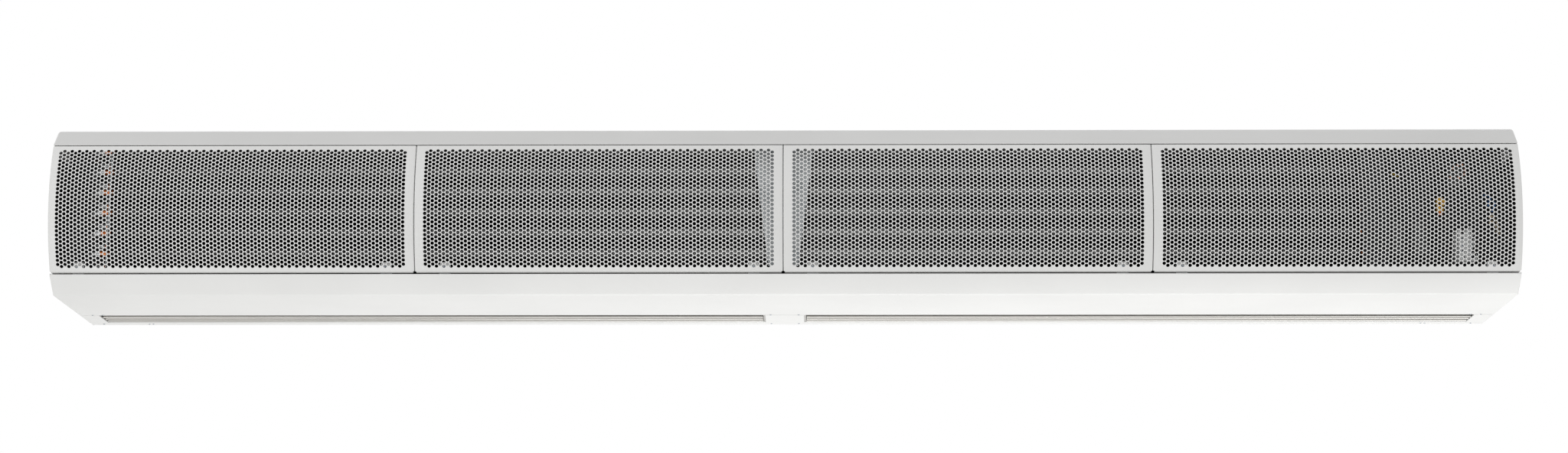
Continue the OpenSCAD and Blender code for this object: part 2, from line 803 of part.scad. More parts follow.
// One slat with its pivots, and the crank pressed on its outer pivot
module slat(n) {
    x1 = outlet_in + frame_end + 1;
    x2 = outlet_out - 1;
    crank_x = outlet_out + frame_end + 0.5;
    color("tan") in_casing() translate([0, slat_y(n), slat_h]) rotate([slat_tilt, 0, 0]) {
        translate([x1, -slat_t / 2, -slat_chord / 2]) cube([x2 - x1, slat_t, slat_chord]);
        rod_x(outlet_in + 0.5, crank_x + crank_t + 0.5, pivot_r);
        difference() {
            along(crank_x, crank_x + crank_t) {
                circle(pivot_r + 2);
                translate([-2, 0]) square([4, crank_r]);
                translate([0, crank_r]) circle(2.6);
            }
            rod_x(crank_x - 1, crank_x + crank_t + 1, pivot_r + 0.02);
        }
        translate([0, 0, crank_r]) rod_x(crank_x + crank_t - 0.01, crank_x + crank_t + 4, 1.2);
    }
}

module slat_left_1() on_side(-1) slat(1);
module slat_left_2() on_side(-1) slat(2);
module slat_left_3() on_side(-1) slat(3);
module slat_right_1() on_side(1) slat(1);
module slat_right_2() on_side(1) slat(2);
module slat_right_3() on_side(1) slat(3);

// Bar that joins the three cranks of an outlet; it slides along y
module link() {
    x = outlet_out + frame_end + 0.5 + crank_t + fit_gap + 0.4;
    drop = crank_r * (1 - cos(20));
    color("dimgray") in_casing() translate([x, -crank_r * slat_tilt * PI / 180, 0]) difference() {
        translate([0, slat_y(1) - 5, slat_h + crank_r - 4.5])
            cube([2, slat_y(slat_count) - slat_y(1) + 10, 9]);
        for (n = [1 : slat_count]) translate([-1, slat_y(n), slat_h + crank_r]) {
            translate([0, -1.45, -drop - 1.5]) cube([4, 2.9, drop + 3]);
        }
    }
}

module link_left() on_side(-1) link();
module link_right() on_side(1) link();

// ---- electrics ----

module electrics_plate() {
    x1 = coil_right + sheet_t;
    color("dimgray") in_casing() translate([x1, plate_y, coil_h])
        cube([sheet_x - x1, sheet_t, fin_h]);
}

block_x = sheet_x - block_gap;
block_h = coil_h + 8;

module terminal_block() {
    ways = 5;
    deep = 40;
    tall = 48;
    color("gainsboro") in_casing() translate([block_x, plate_y - deep, block_h]) difference() {
        cube([25, deep, tall]);
        for (n = [0 : ways - 1]) translate([6, 0, 6 + n * 9]) {
            rod_y(-1, 9, 2.4);
            translate([13, 0, 0]) rod_y(-1, 9, 2.4);
        }
    }
}

module capacitors() {
    cap_r = 15;
    color("darkgray") in_casing() for (n = [0, 1])
        translate([coil_right + 52 + n * 34, plate_y - cap_r, coil_h + 20])
            cylinder(h = 54, r = cap_r);
}

module relay() {
    color("orangered") in_casing() translate([block_x - 8, plate_y - 30, coil_top - 60])
        cube([28, 30, 40]);
}

module blue_wires() {
    x = block_x + 54;
    color("steelblue") in_casing() for (n = [0, 1])
        wire(eased([[block_x + 19, plate_y - 40, block_h + 6 + n * 9],
                    [block_x + 19, plate_y - 49, block_h + 6 + n * 9],
                    [x - n * 6, plate_y - 44, coil_h + 92 + n * 8],
                    [x - n * 6, plate_y - 10, coil_h + 104 + n * 8],
                    [x - n * 6, plate_y - close_gap, coil_h + 104 + n * 8]], 4), 1.3);
}

module beige_wires() {
    x = block_x + 46;
    color("wheat") in_casing() for (n = [0, 1])
        wire(eased([[block_x + 19, plate_y - 40, block_h + 33 + n * 9],
                    [block_x + 19, plate_y - 52, block_h + 33 + n * 9],
                    [x, plate_y - 53, block_h + 56 + n * 8],
                    [x + 16, plate_y - 28, block_h + 44 + n * 8],
                    [x + 16, plate_y - 10, block_h + 42 + n * 8],
                    [x + 16, plate_y - close_gap, block_h + 42 + n * 8]], 4), 1.3);
}

module earth_wire() {
    color("gold") in_casing() wire(eased([[block_x + 6, plate_y - 40, block_h + 42],
        [block_x + 6, plate_y - 49, block_h + 42], [block_x - 4, plate_y - 46, coil_top - 72],
        [block_x - 64, plate_y - 42, coil_top - 52], [coil_right + 60, plate_y - 12, coil_top - 40],
        [coil_right + 52, plate_y - 10, coil_top - 36],
        [coil_right + 52, plate_y - close_gap, coil_top - 36]], 4), 1.6);
}

function gland_x() = sheet_x - gland_gap;
function gland_y() = coil_back + gland_back;

// Gland in the top cover for the supply cable
module cable_gland() {
    color("dimgray") in_casing() translate([gland_x(), gland_y(), casing_h]) difference() {
        union() {
            translate([0, 0, -10]) cylinder(h = 20, r = gland_r + 2.9);
            cylinder(h = 4, r = gland_r + 7, $fn = 6);
            translate([0, 0, 4]) cylinder(h = 8, r = gland_r + 4.5);
            translate([0, 0, -sheet_t - 4]) cylinder(h = 4, r = gland_r + 7, $fn = 6);
        }
        translate([0, 0, -12]) cylinder(h = 30, r = gland_r);
    }
}

// ---- wall and ceiling fixings ----

module wall_brackets() {
    lip_y = casing_d + 2;
    top = bolt_h + bracket_top;
    wall_y = casing_d + wall_gap;
    color(galv_c) in_casing() for (side = [-1, 1]) translate([side * bracket_span / 2, 0, 0])
        difference() {
            union() {
                along(-bracket_w / 2, bracket_w / 2) polygon([[wall_y, bolt_h - 60], [wall_y, top],
                    [lip_y + 1.5, top], [lip_y + 1.5, top + 14], [lip_y, top + 14], [lip_y, top - 2],
                    [wall_y - bracket_t, top - 2], [wall_y - bracket_t, bolt_h - 60]]);
            }
            for (up = [-1, 1]) translate([0, 0, bolt_h + up * bolt_span / 2])
                rod_y(wall_y - bracket_t - 1, wall_y + 1, bolt_r);
        }
}

// Rail on the back sheet that hangs over the brackets' lips
module hanger_rail() {
    rest = bolt_h + bracket_top + 14;
    lip = casing_d + 2 + 1.5 + 0.4;
    color(galv_c) in_casing() along(-bracket_span / 2 - rail_over, bracket_span / 2 + rail_over)
        polygon([[casing_d, rest], [lip, rest], [lip, rest - 10], [lip + 1.5, rest - 10],
                 [lip + 1.5, rest + 1.5], [casing_d + 1.5, rest + 1.5], [casing_d + 1.5, rest + 26],
                 [casing_d, rest + 26]]);
}

module at_inserts() {
    back = casing_d - 30;
    for (side = [-1, 1], y = [back - insert_gap, back])
        translate([side * insert_span / 2, y, casing_h]) children();
}

// Threaded inserts in the top cover for hanging rods
module ceiling_inserts() {
    color("silver") in_casing() at_inserts() difference() {
        union() {
            translate([0, 0, -14]) cylinder(h = 14, r = insert_r + 2.5);
            cylinder(h = 1.2, r = insert_r + 5);
        }
        translate([0, 0, -15]) cylinder(h = 20, r = insert_r);
    }
}

rear_panel();
top_cover();
lower_panel();
end_plate_left();
end_plate_right();
centre_divider();
outlet_ends();
hinge_brackets();
grille_catches();
centre_bracket();
coil_fins();
coil_tubes();
coil_end_plates();
coil_rails();
flow_pipe();
return_pipe();
bleed_valve();
scroll_left();
scroll_right();
tongue_left();
tongue_right();
fan_cheeks_left();
fan_cheeks_right();
motor_left();
motor_right();
bearings();
outlet_frame_left();
outlet_frame_right();
electrics_plate();
terminal_block();
capacitors();
relay();
blue_wires();
beige_wires();
earth_wire();
cable_gland();
wall_brackets();
hanger_rail();
ceiling_inserts();
casing_rivets();
impeller_left();
impeller_right();
rotor_left();
rotor_right();
for (i = [1 : 4]) {
    grille(i);
    grille_fixings(i);
}
slat_left_1();
slat_left_2();
slat_left_3();
slat_right_1();
slat_right_2();
slat_right_3();
link_left();
link_right();
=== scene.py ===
import json
import math

import bmesh
import bpy
from mathutils import Matrix, Vector


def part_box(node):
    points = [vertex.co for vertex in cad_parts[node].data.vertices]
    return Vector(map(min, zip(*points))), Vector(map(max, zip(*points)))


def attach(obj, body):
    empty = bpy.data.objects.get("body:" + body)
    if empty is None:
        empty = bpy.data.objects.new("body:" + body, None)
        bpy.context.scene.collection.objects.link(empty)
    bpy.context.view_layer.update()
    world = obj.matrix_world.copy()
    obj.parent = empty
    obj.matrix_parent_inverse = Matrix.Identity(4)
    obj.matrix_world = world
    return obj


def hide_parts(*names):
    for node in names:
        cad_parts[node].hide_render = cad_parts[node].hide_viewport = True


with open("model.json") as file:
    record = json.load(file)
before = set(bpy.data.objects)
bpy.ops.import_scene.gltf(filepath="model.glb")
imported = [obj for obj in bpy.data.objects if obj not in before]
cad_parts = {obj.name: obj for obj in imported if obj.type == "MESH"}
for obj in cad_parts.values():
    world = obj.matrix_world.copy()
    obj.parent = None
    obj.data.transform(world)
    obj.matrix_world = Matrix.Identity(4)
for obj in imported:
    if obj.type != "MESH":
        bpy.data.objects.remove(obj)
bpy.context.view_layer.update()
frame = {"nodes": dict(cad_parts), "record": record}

# Pieces are made in millimetres in the casing's own frame: x along the casing,
# y back from the front of the grilles, z up from the underside
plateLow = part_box("end_plate_right")[0]
toRow = Matrix.Translation((0, plateLow.y, plateLow.z)) @ Matrix.Scale(0.001, 4)
toCasing = toRow.inverted()


def casingBox(node):
    low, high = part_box(node)
    return toCasing @ low, toCasing @ high


casing = {
    "halfLength": casingBox("end_plate_right")[1].x,
    "depth": casingBox("rear_panel")[1].y,
    "height": casingBox("top_cover")[1].z,
    "sheet": 1.5,
    "bend": 2.5,          # outer radius of the sheet's folds
    "curveRadius": 230.0,
    "curveHeight": 141.0,
    "bandHeight": casingBox("top_cover")[0].z,
    "bandRise": 21.0,
    "bandRun": 19.4,
    "bandFold": 23.0,
    "roundRun": 36.0,
    "sillDepth": 28.6,
    "sillHeight": casingBox("lower_panel")[1].z,
    "sillFold": 21.4,
    "bendDepth": 56.0,
    "lipHeight": 12.0,
    "rearFlange": 18.0,
}


# Materials. Colours are given as on a screen, grain sizes in millimetres
def srgb(hexColor):
    parts = [int(hexColor[i:i + 2], 16) / 255 for i in (0, 2, 4)]
    return [p / 12.92 if p <= 0.04045 else ((p + 0.055) / 1.055) ** 2.4 for p in parts] + [1.0]


def addNode(mat, kind, inputs=None, **settings):
    node = mat.node_tree.nodes.new(kind)
    for key, value in settings.items():
        setattr(node, key, value)
    for key, value in (inputs or {}).items():
        if isinstance(value, bpy.types.NodeSocket):
            mat.node_tree.links.new(value, node.inputs[key])
        else:
            node.inputs[key].default_value = value
    return node


def newMaterial(name, hexColor, roughness, metallic=0.0):
    mat = bpy.data.materials.new(name)
    mat.use_nodes = True
    shader = mat.node_tree.nodes["Principled BSDF"]
    shader.inputs["Base Color"].default_value = srgb(hexColor)
    shader.inputs["Roughness"].default_value = roughness
    shader.inputs["Metallic"].default_value = metallic
    place = addNode(mat, "ShaderNodeTexCoord").outputs["Object"]
    return mat, shader, place


def perMetre(grainMm):
    return 1000 / grainMm      # noise scale whose features are that many millimetres wide


def mottle(mat, shader, place, grainMm, lowHex, highHex, stretch=(1, 1, 1), detail=3.0):
    # slow drift between two close colours, as in any real finish
    moved = addNode(mat, "ShaderNodeMapping", {"Vector": place, "Scale": stretch})
    noise = addNode(mat, "ShaderNodeTexNoise", {"Vector": moved.outputs["Vector"],
                                                "Scale": perMetre(grainMm), "Detail": detail})
    ramp = addNode(mat, "ShaderNodeValToRGB", {"Fac": noise.outputs["Fac"]})
    ramp.color_ramp.elements[0].position = 0.35
    ramp.color_ramp.elements[0].color = srgb(lowHex)
    ramp.color_ramp.elements[1].position = 0.65
    ramp.color_ramp.elements[1].color = srgb(highHex)
    mat.node_tree.links.new(ramp.outputs["Color"], shader.inputs["Base Color"])
    return noise


def roughnessDrift(mat, shader, place, grainMm, low, high, stretch=(1, 1, 1)):
    moved = addNode(mat, "ShaderNodeMapping", {"Vector": place, "Scale": stretch})
    noise = addNode(mat, "ShaderNodeTexNoise", {"Vector": moved.outputs["Vector"],
                                                "Scale": perMetre(grainMm), "Detail": 4.0})
    span = addNode(mat, "ShaderNodeMapRange", {"Value": noise.outputs["Fac"], "From Min": 0.3,
                                               "From Max": 0.7, "To Min": low, "To Max": high})
    mat.node_tree.links.new(span.outputs["Result"], shader.inputs["Roughness"])


def relief(mat, shader, place, grainMm, depthMm, strength=1.0, stretch=(1, 1, 1), detail=2.0):
    moved = addNode(mat, "ShaderNodeMapping", {"Vector": place, "Scale": stretch})
    noise = addNode(mat, "ShaderNodeTexNoise", {"Vector": moved.outputs["Vector"],
                                                "Scale": perMetre(grainMm), "Detail": detail})
    bump = addNode(mat, "ShaderNodeBump", {"Height": noise.outputs["Fac"], "Strength": strength,
                                           "Distance": depthMm / 1000})
    mat.node_tree.links.new(bump.outputs["Normal"], shader.inputs["Normal"])


def powderCoatedSteel(name, hexLow, hexHigh):
    # baked polyester powder: even warm white, semi-matt, fine orange peel
    mat, shader, place = newMaterial(name, hexHigh, 0.42)
    shader.inputs["IOR"].default_value = 1.5
    mottle(mat, shader, place, 260, hexLow, hexHigh)
    roughnessDrift(mat, shader, place, 40, 0.38, 0.48)
    relief(mat, shader, place, 2.2, 0.02, 0.5)
    return mat


def galvanisedSheet():
    # hot-dip zinc: pale grey crystals about a centimetre wide, each with its own sheen
    mat, shader, place = newMaterial("galvanisedSheet", "b4b8ba", 0.42, 0.85)
    spangle = addNode(mat, "ShaderNodeTexVoronoi", {"Vector": place, "Scale": perMetre(11)})
    tone = addNode(mat, "ShaderNodeSeparateColor", {"Color": spangle.outputs["Color"]})
    ramp = addNode(mat, "ShaderNodeValToRGB", {"Fac": tone.outputs["Red"]})
    ramp.color_ramp.elements[0].color = srgb("a3a8ab")
    ramp.color_ramp.elements[1].color = srgb("c3c6c7")
    mat.node_tree.links.new(ramp.outputs["Color"], shader.inputs["Base Color"])
    span = addNode(mat, "ShaderNodeMapRange", {"Value": tone.outputs["Green"], "To Min": 0.34,
                                               "To Max": 0.52})
    mat.node_tree.links.new(span.outputs["Result"], shader.inputs["Roughness"])
    return mat


def rolledAluminium(name, hexLow, hexHigh, low, high, stretch, metallic=1.0):
    # rolled or extruded metal: soft shine with fine lines along its length
    mat, shader, place = newMaterial(name, hexHigh, low, metallic)
    mottle(mat, shader, place, 60, hexLow, hexHigh, stretch)
    roughnessDrift(mat, shader, place, 12, low, high, stretch)
    relief(mat, shader, place, 1.5, 0.01, 0.35, stretch)
    return mat


def shadeBlackFins():
    # thin aluminium fins, near black: painted shade for the dark inside of the coil, with a faint
    # dusty bloom
    mat, shader, place = newMaterial("finsBlackPaintedShade", "0c0d0f", 0.85)
    shader.inputs["Specular IOR Level"].default_value = 0.12
    mottle(mat, shader, place, 30, "08090b", "111315")
    roughnessDrift(mat, shader, place, 8, 0.78, 0.92)
    relief(mat, shader, place, 1.2, 0.02, 0.4)
    return mat


def drawnCopper():
    # drawn tube, warm and shiny, browned in patches by brazing heat
    mat, shader, place = newMaterial("drawnCopper", "c8713f", 0.3, 1.0)
    mottle(mat, shader, place, 16, "a9562c", "d9834c")
    roughnessDrift(mat, shader, place, 7, 0.24, 0.42)
    relief(mat, shader, place, 0.8, 0.01, 0.3)
    return mat


def greyBendsPaintedHighlight():
    # return bends in light grey metal, softly shiny, slightly streaky: painted highlight in place
    # of glints on the copper bends
    mat, shader, place = newMaterial("bendsPaintedHighlight", "b9bcbe", 0.34, 1.0)
    mottle(mat, shader, place, 14, "aeb0b1", "c8cacb")
    roughnessDrift(mat, shader, place, 6, 0.28, 0.46)
    relief(mat, shader, place, 0.8, 0.01, 0.3)
    return mat


def turnedBrass():
    # machined brass: yellow, bright, faint turning lines
    mat, shader, place = newMaterial("turnedBrass", "c9a24a", 0.24, 1.0)
    mottle(mat, shader, place, 9, "b8903c", "d4ae58")
    roughnessDrift(mat, shader, place, 3, 0.2, 0.34, (1, 1, 8))
    relief(mat, shader, place, 0.5, 0.01, 0.4, (1, 1, 10))
    return mat


def zincPlatedSteel():
    # bright zinc plate, slightly blue, used on screws, rivets and inserts
    mat, shader, place = newMaterial("zincPlatedSteel", "a9afb6", 0.3, 1.0)
    mottle(mat, shader, place, 3, "8f98a4", "b9bec2")
    roughnessDrift(mat, shader, place, 1.5, 0.22, 0.4)
    relief(mat, shader, place, 0.6, 0.01, 0.3)
    return mat


def primerAndPaintedShade():
    # dark primer on motors and link bars, slightly grainy; on the backing plate the near-black
    # colour is painted shade for the dark compartment behind the grille
    mat, shader, place = newMaterial("primerAndPaintedShade", "16181b", 0.7)
    shader.inputs["Specular IOR Level"].default_value = 0.25
    mottle(mat, shader, place, 18, "131518", "1b1d21")
    roughnessDrift(mat, shader, place, 6, 0.62, 0.78)
    relief(mat, shader, place, 0.9, 0.02, 0.5)
    return mat


def mouldedRubber():
    # black nitrile rubber and foam: soft, matt, dusty
    mat, shader, place = newMaterial("mouldedRubber", "111112", 0.9)
    shader.inputs["Specular IOR Level"].default_value = 0.2
    mottle(mat, shader, place, 5, "0e0e0f", "161617")
    relief(mat, shader, place, 0.7, 0.03, 0.5)
    return mat


def mouldedPlastic(name, hexLow, hexHigh, roughness):
    # injection-moulded thermoplastic with a fine spark-eroded grain
    mat, shader, place = newMaterial(name, hexHigh, roughness)
    shader.inputs["IOR"].default_value = 1.5
    mottle(mat, shader, place, 12, hexLow, hexHigh)
    roughnessDrift(mat, shader, place, 4, roughness - 0.05, roughness + 0.08)
    relief(mat, shader, place, 0.4, 0.015, 0.5)
    return mat


whitePaint = powderCoatedSteel("powderCoatedSteel", "e6e6e5", "ebebea")
# the cover's copy of the powder coat is a shade darker: painted shade, as the cover faces up, away
# from the stronger light from below
coverPaintShaded = powderCoatedSteel("powderCoatedCoverPaintedShade", "dededd", "e3e3e2")
galvanised = galvanisedSheet()
finShadeBlack = shadeBlackFins()
copper = drawnCopper()
bendsPaintedHighlight = greyBendsPaintedHighlight()
brass = turnedBrass()
zinc = zincPlatedSteel()
darkSteel = primerAndPaintedShade()
rubber = mouldedRubber()
slatAluminium = rolledAluminium("anodisedAluminium", "c6c4c0", "d2d0cc", 0.26, 0.36, (0.05, 1, 1))
bladeAluminium = rolledAluminium("rolledAluminium", "b9bbbd", "c9cbcc", 0.34, 0.48, (0.1, 1, 1))
# near-white, barely metallic collars: painted highlight for the shine along the tubes, on real
# aluminium collars
collarPaintedHighlight = rolledAluminium("collarsNearWhitePaintedHighlight", "eeefed", "f8f8f6", 0.32, 0.45, (1, 1, 1), 0.15)
greyPlastic = mouldedPlastic("mouldedPolyamide", "dcdddd", "e6e7e7", 0.4)
orangePlastic = mouldedPlastic("mouldedPolycarbonate", "cf6a22", "db7a2e", 0.35)
blackPlastic = mouldedPlastic("mouldedGland", "1c1d1e", "262728", 0.5)
blueWire = mouldedPlastic("extrudedBlueInsulation", "27588f", "2f67a3", 0.4)
beigeWire = mouldedPlastic("extrudedBeigeInsulation", "cfbb9a", "dac8a9", 0.4)
yellowWire = mouldedPlastic("extrudedYellowInsulation", "c9a51c", "d8b62c", 0.4)

slotFinishes = {
    "white_paint": whitePaint, "top_paint": coverPaintShaded, "galvanised_steel": galvanised,
    "fin_aluminium": finShadeBlack, "copper": copper, "valve_brass": brass,
    "dark_steel": darkSteel, "bearing_rubber": rubber, "anodised_aluminium": slatAluminium,
    "impeller_aluminium": bladeAluminium, "grey_plastic": greyPlastic,
    "orange_plastic": orangePlastic, "blue_insulation": blueWire,
    "beige_insulation": beigeWire, "yellow_insulation": yellowWire,
    "black_plastic": blackPlastic, "zinc_steel": zinc,
}
nodeSlots = {part["node"]: part["material_slot"] for part in frame["record"]["subparts"]}
for node, cadPiece in frame["nodes"].items():
    cadPiece.data.materials.clear()
    cadPiece.data.materials.append(slotFinishes[nodeSlots[node]])
print("materials:", len(slotFinishes))


# Shared ways of making a piece
def finishPiece(bm, name, body, slotName, finish, *nodes, sharpAngle=32):
    bmesh.ops.transform(bm, matrix=toRow, verts=bm.verts)
    mesh = bpy.data.meshes.new(name)
    bm.to_mesh(mesh)
    bm.free()
    mesh.materials.append(finish)
    mesh.shade_smooth()
    mesh.set_sharp_from_angle(angle=math.radians(sharpAngle))
    piece = bpy.data.objects.new(name, mesh)
    bpy.context.scene.collection.objects.link(piece)
    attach(piece, body)
    if nodes:
        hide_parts(*nodes)
    return piece


def newVerts(result):
    return [v for v in result["geom"] if isinstance(v, bmesh.types.BMVert)]


def everything(bm):
    return bm.verts[:] + bm.edges[:] + bm.faces[:]


def frontDepth(height):
    radius = casing["curveRadius"]
    return radius - math.sqrt(radius ** 2 - (height - casing["curveHeight"]) ** 2)


def roundEdges(bm, edges, size, segments=2):
    bmesh.ops.bevel(bm, geom=edges, offset=size, offset_type="OFFSET", affect="EDGES",
                    segments=segments, profile=0.5, material=-1, clamp_overlap=True)


def sharpEdges(bm, degrees=30):
    return [e for e in bm.edges if len(e.link_faces) == 2
            and e.calc_face_angle(0) > math.radians(degrees)]


def addBox(bm, low, high, edgeRound=0.0, segments=2):
    size = Vector(high) - Vector(low)
    middle = (Vector(high) + Vector(low)) / 2
    made = bmesh.ops.create_cube(bm, size=1, matrix=Matrix.Translation(middle)
                                 @ Matrix.Diagonal((size.x, size.y, size.z, 1)))
    if edgeRound:
        roundEdges(bm, list({e for v in made["verts"] for e in v.link_edges}), edgeRound, segments)


def addRod(bm, start, end, radius, segments=24, edgeRound=0.0):
    way = Vector(end) - Vector(start)
    turn = way.to_track_quat("Z", "Y").to_matrix().to_4x4()
    middle = (Vector(start) + Vector(end)) / 2
    made = bmesh.ops.create_cone(bm, cap_ends=True, segments=segments, radius1=radius,
                                 radius2=radius, depth=way.length,
                                 matrix=Matrix.Translation(middle) @ turn)
    if edgeRound:
        rims = {e for v in made["verts"] for e in v.link_edges
                if any(len(f.verts) > 4 for f in e.link_faces)}
        roundEdges(bm, list(rims), edgeRound, 3)


def extrudeOutline(bm, outline, x1, x2):
    face = bm.faces.new([bm.verts.new((x1, y, z)) for y, z in outline])
    out = bmesh.ops.extrude_face_region(bm, geom=[face])
    bmesh.ops.translate(bm, verts=newVerts(out), vec=(x2 - x1, 0, 0))
    bmesh.ops.recalc_face_normals(bm, faces=bm.faces)


# Cuts round holes through a finished piece
def drill(piece, rods):
    bm = bmesh.new()
    for start, end, radius in rods:
        addRod(bm, start, end, radius, 32)
    bmesh.ops.transform(bm, matrix=toRow, verts=bm.verts)
    mesh = bpy.data.meshes.new("drill")
    bm.to_mesh(mesh)
    bm.free()
    cutter = bpy.data.objects.new("drill", mesh)
    bpy.context.scene.collection.objects.link(cutter)
    cut = piece.modifiers.new("drill", "BOOLEAN")
    cut.object = cutter
    cut.solver = "EXACT"
    depsgraph = bpy.context.evaluated_depsgraph_get()
    drilled = bpy.data.meshes.new_from_object(piece.evaluated_get(depsgraph))
    piece.modifiers.clear()
    piece.data = drilled
    piece.data.set_sharp_from_angle(angle=math.radians(32))
    bpy.data.objects.remove(cutter)


# A sheet folded along a line in y and z, with rounded folds, from x1 to x2. The line is the
# outer face, and the thickness lies to its left (side 1) or its right (side -1)
def foldedSheet(line, x1, x2, side, folds=None, bend=None):
    bm = bmesh.new()
    row = [bm.verts.new((x1, y, z)) for y, z in line]
    rungs = [bm.edges.new(pair) for pair in zip(row, row[1:])]
    out = bmesh.ops.extrude_edge_only(bm, edges=rungs)
    bmesh.ops.translate(bm, verts=newVerts(out), vec=(x2 - x1, 0, 0))
    bmesh.ops.recalc_face_normals(bm, faces=bm.faces)
    first = next(f for f in rungs[0].link_faces)
    way = row[1].co - row[0].co
    outer = Vector((0, way.z, -way.y)) * side
    if first.normal.dot(outer) < 0:
        bmesh.ops.reverse_faces(bm, faces=bm.faces)
    chosen = folds if folds is not None else range(1, len(line) - 1)
    corners = {(round(line[i][0], 3), round(line[i][1], 3)) for i in chosen}
    ridges = [e for e in bm.edges if len(e.link_faces) == 2
              and (round(e.verts[0].co.y, 3), round(e.verts[0].co.z, 3)) in corners]
    roundEdges(bm, ridges, bend or casing["bend"], 5)
    bmesh.ops.solidify(bm, geom=bm.faces[:], thickness=casing["sheet"])
    bmesh.ops.recalc_face_normals(bm, faces=bm.faces)
    return bm


def quadraticBow(a, b, c, steps):
    return [tuple(p * (1 - s) ** 2 + q * 2 * s * (1 - s) + r * s ** 2 for p, q, r in zip(a, b, c))
            for s in (i / steps for i in range(steps + 1))]


bandDepth = frontDepth(casing["bandHeight"]) + 0.4
bandTop = (bandDepth + casing["bandRun"], casing["bandHeight"] + casing["bandRise"])
riseLeft = casing["height"] - bandTop[1]
bowCorner = (bandTop[0] + riseLeft * casing["bandRun"] / casing["bandRise"], casing["height"])
topRound = quadraticBow(bandTop, bowCorner, (bandTop[0] + casing["roundRun"], casing["height"]), 18)
sheetEnd = casing["halfLength"] - casing["sheet"]
outletBack = casingBox("rear_panel")[0].y
outletFront = casingBox("lower_panel")[1].y


cover = {
    "unionX": (858.0, 938.0),
    "unionY": 82.0,
    "unionHole": 14.5,
    "glandX": 996.0,
    "glandY": 162.0,
    "glandHole": 8.0,
    "insertX": 900.0,
    "insertY": (120.0, 250.0),
    "insertHole": 6.0,
}


def makeTopCover():
    line = [(bandDepth + casing["bandFold"], casing["bandHeight"]),
            (bandDepth, casing["bandHeight"])] + topRound + [(casing["depth"], casing["height"])]
    bm = foldedSheet(line, -sheetEnd, sheetEnd, -1, folds=[1], bend=1.8)
    piece = finishPiece(bm, "topCover", "casing", "top_paint", coverPaintShaded, "top_cover")
    spots = [(side * cover["insertX"], y, cover["insertHole"])
             for side in (-1, 1) for y in cover["insertY"]]
    spots += [(x, cover["unionY"], cover["unionHole"]) for x in cover["unionX"]]
    spots.append((cover["glandX"], cover["glandY"], cover["glandHole"]))
    top = casing["height"]
    drill(piece, [((x, y, top - 5), (x, y, top + 5), r) for x, y, r in spots])


def makeRearPanel():
    height = casing["height"] - casing["sheet"]
    line = [(outletBack, casing["lipHeight"]), (outletBack, 0), (casing["depth"], 0),
            (casing["depth"], height), (casing["depth"] - casing["rearFlange"], height)]
    bm = foldedSheet(line, -sheetEnd, sheetEnd, 1)
    finishPiece(bm, "rearPanel", "casing", "white_paint", whitePaint, "rear_panel")


def makeLowerPanel():
    line = [(casing["sillDepth"] + casing["sillFold"], casing["sillHeight"]),
            (casing["sillDepth"], casing["sillHeight"]), (casing["bendDepth"], 0),
            (outletFront, 0), (outletFront, casing["lipHeight"])]
    bm = foldedSheet(line, -sheetEnd, sheetEnd, 1)
    finishPiece(bm, "lowerPanel", "casing", "white_paint", whitePaint, "lower_panel")


endPlate = {
    "notch": 3.0,        # corner relief between the band and the grille's end
    "sillNotch": 1.6,
    "edgeRound": 0.4,
    "foldRoom": 12.8,    # the grille's end fold lies in front of the plate
    "hingeRoom": 18.0,
    "hingeLow": 184.0,
    "steps": 40,         # along the curved front edge
}


def makeEndPlate(side, name, node):
    notch, relief = endPlate["notch"], endPlate["sillNotch"]
    bandLow, low = casing["bandHeight"] - notch, casing["sillHeight"] + 1
    outline = [(casing["bendDepth"], 0), (casing["depth"], 0), (casing["depth"], casing["height"])]
    outline += list(reversed(topRound))
    outline += [(bandDepth + 0.6, casing["bandHeight"] + 0.6),
                (bandDepth + notch, casing["bandHeight"] + 0.6), (bandDepth + notch, bandLow)]
    steps, front = endPlate["steps"], casing["sillDepth"] + relief
    for height in (low + (bandLow - low) * i / steps for i in range(steps, -1, -1)):
        room = endPlate["foldRoom" if height < endPlate["hingeLow"] else "hingeRoom"]
        outline.append((frontDepth(height) + room, height))
    outline += [(front, low), (front, low - 1 - relief)]
    bm = bmesh.new()
    extrudeOutline(bm, outline, side * sheetEnd, side * casing["halfLength"])
    rim = [e for e in sharpEdges(bm)
           if all(abs(v.co.x) > casing["halfLength"] - 0.1 for v in e.verts)]
    roundEdges(bm, rim, endPlate["edgeRound"])
    finishPiece(bm, name, "casing", "white_paint", whitePaint, node)


makeTopCover()
makeRearPanel()
makeLowerPanel()
makeEndPlate(-1, "endPlateLeft", "end_plate_left")
makeEndPlate(1, "endPlateRight", "end_plate_right")
print("casing: cover, rear and lower panels, end plates")


perforation = {
    "pitch": 6.0,
    "holeWidth": 5.0,
    "sheet": 0.8,
    "columns": 47,       # on each side of the middle column
    "halfRows": 28,      # above and below the middle row
    "middleTilt": math.radians(-6.28),   # where the middle row lies on the curve
    "screwColumn": 42,
}
columnHalf = perforation["pitch"] * math.sqrt(3) / 4
rowHalf = perforation["pitch"] / 2
fieldHalf = (perforation["halfRows"] + 1) * rowHalf
fieldWide = (2 * perforation["columns"] + 1) * columnHalf
grillePitch = (casing["halfLength"] + 3) / 2
grilleFold = {
    "radius": 1.8,
    "sideDepth": 12.0,
    "bottomDepth": 6.0,
    "steps": 3,
    "lowerShare": 0.58,   # of the radius, so that the lower fold ends level with the CAD's
    "endGap": 0.05,
}
grilleTab = {"width": 14.0, "height": 16.0, "depth": 36.6, "offset": 218.2}


def openEdges(bm, test):
    return [e for e in bm.edges if len(e.link_faces) == 1 and all(test(v.co) for v in e.verts)]


def pushOut(bm, edges, move):
    out = bmesh.ops.extrude_edge_only(bm, edges=edges)
    moved = newVerts(out)
    for v in moved:
        move(v.co)
    return [e for e in {e for v in moved for e in v.link_edges} if all(v in moved for v in e.verts)]


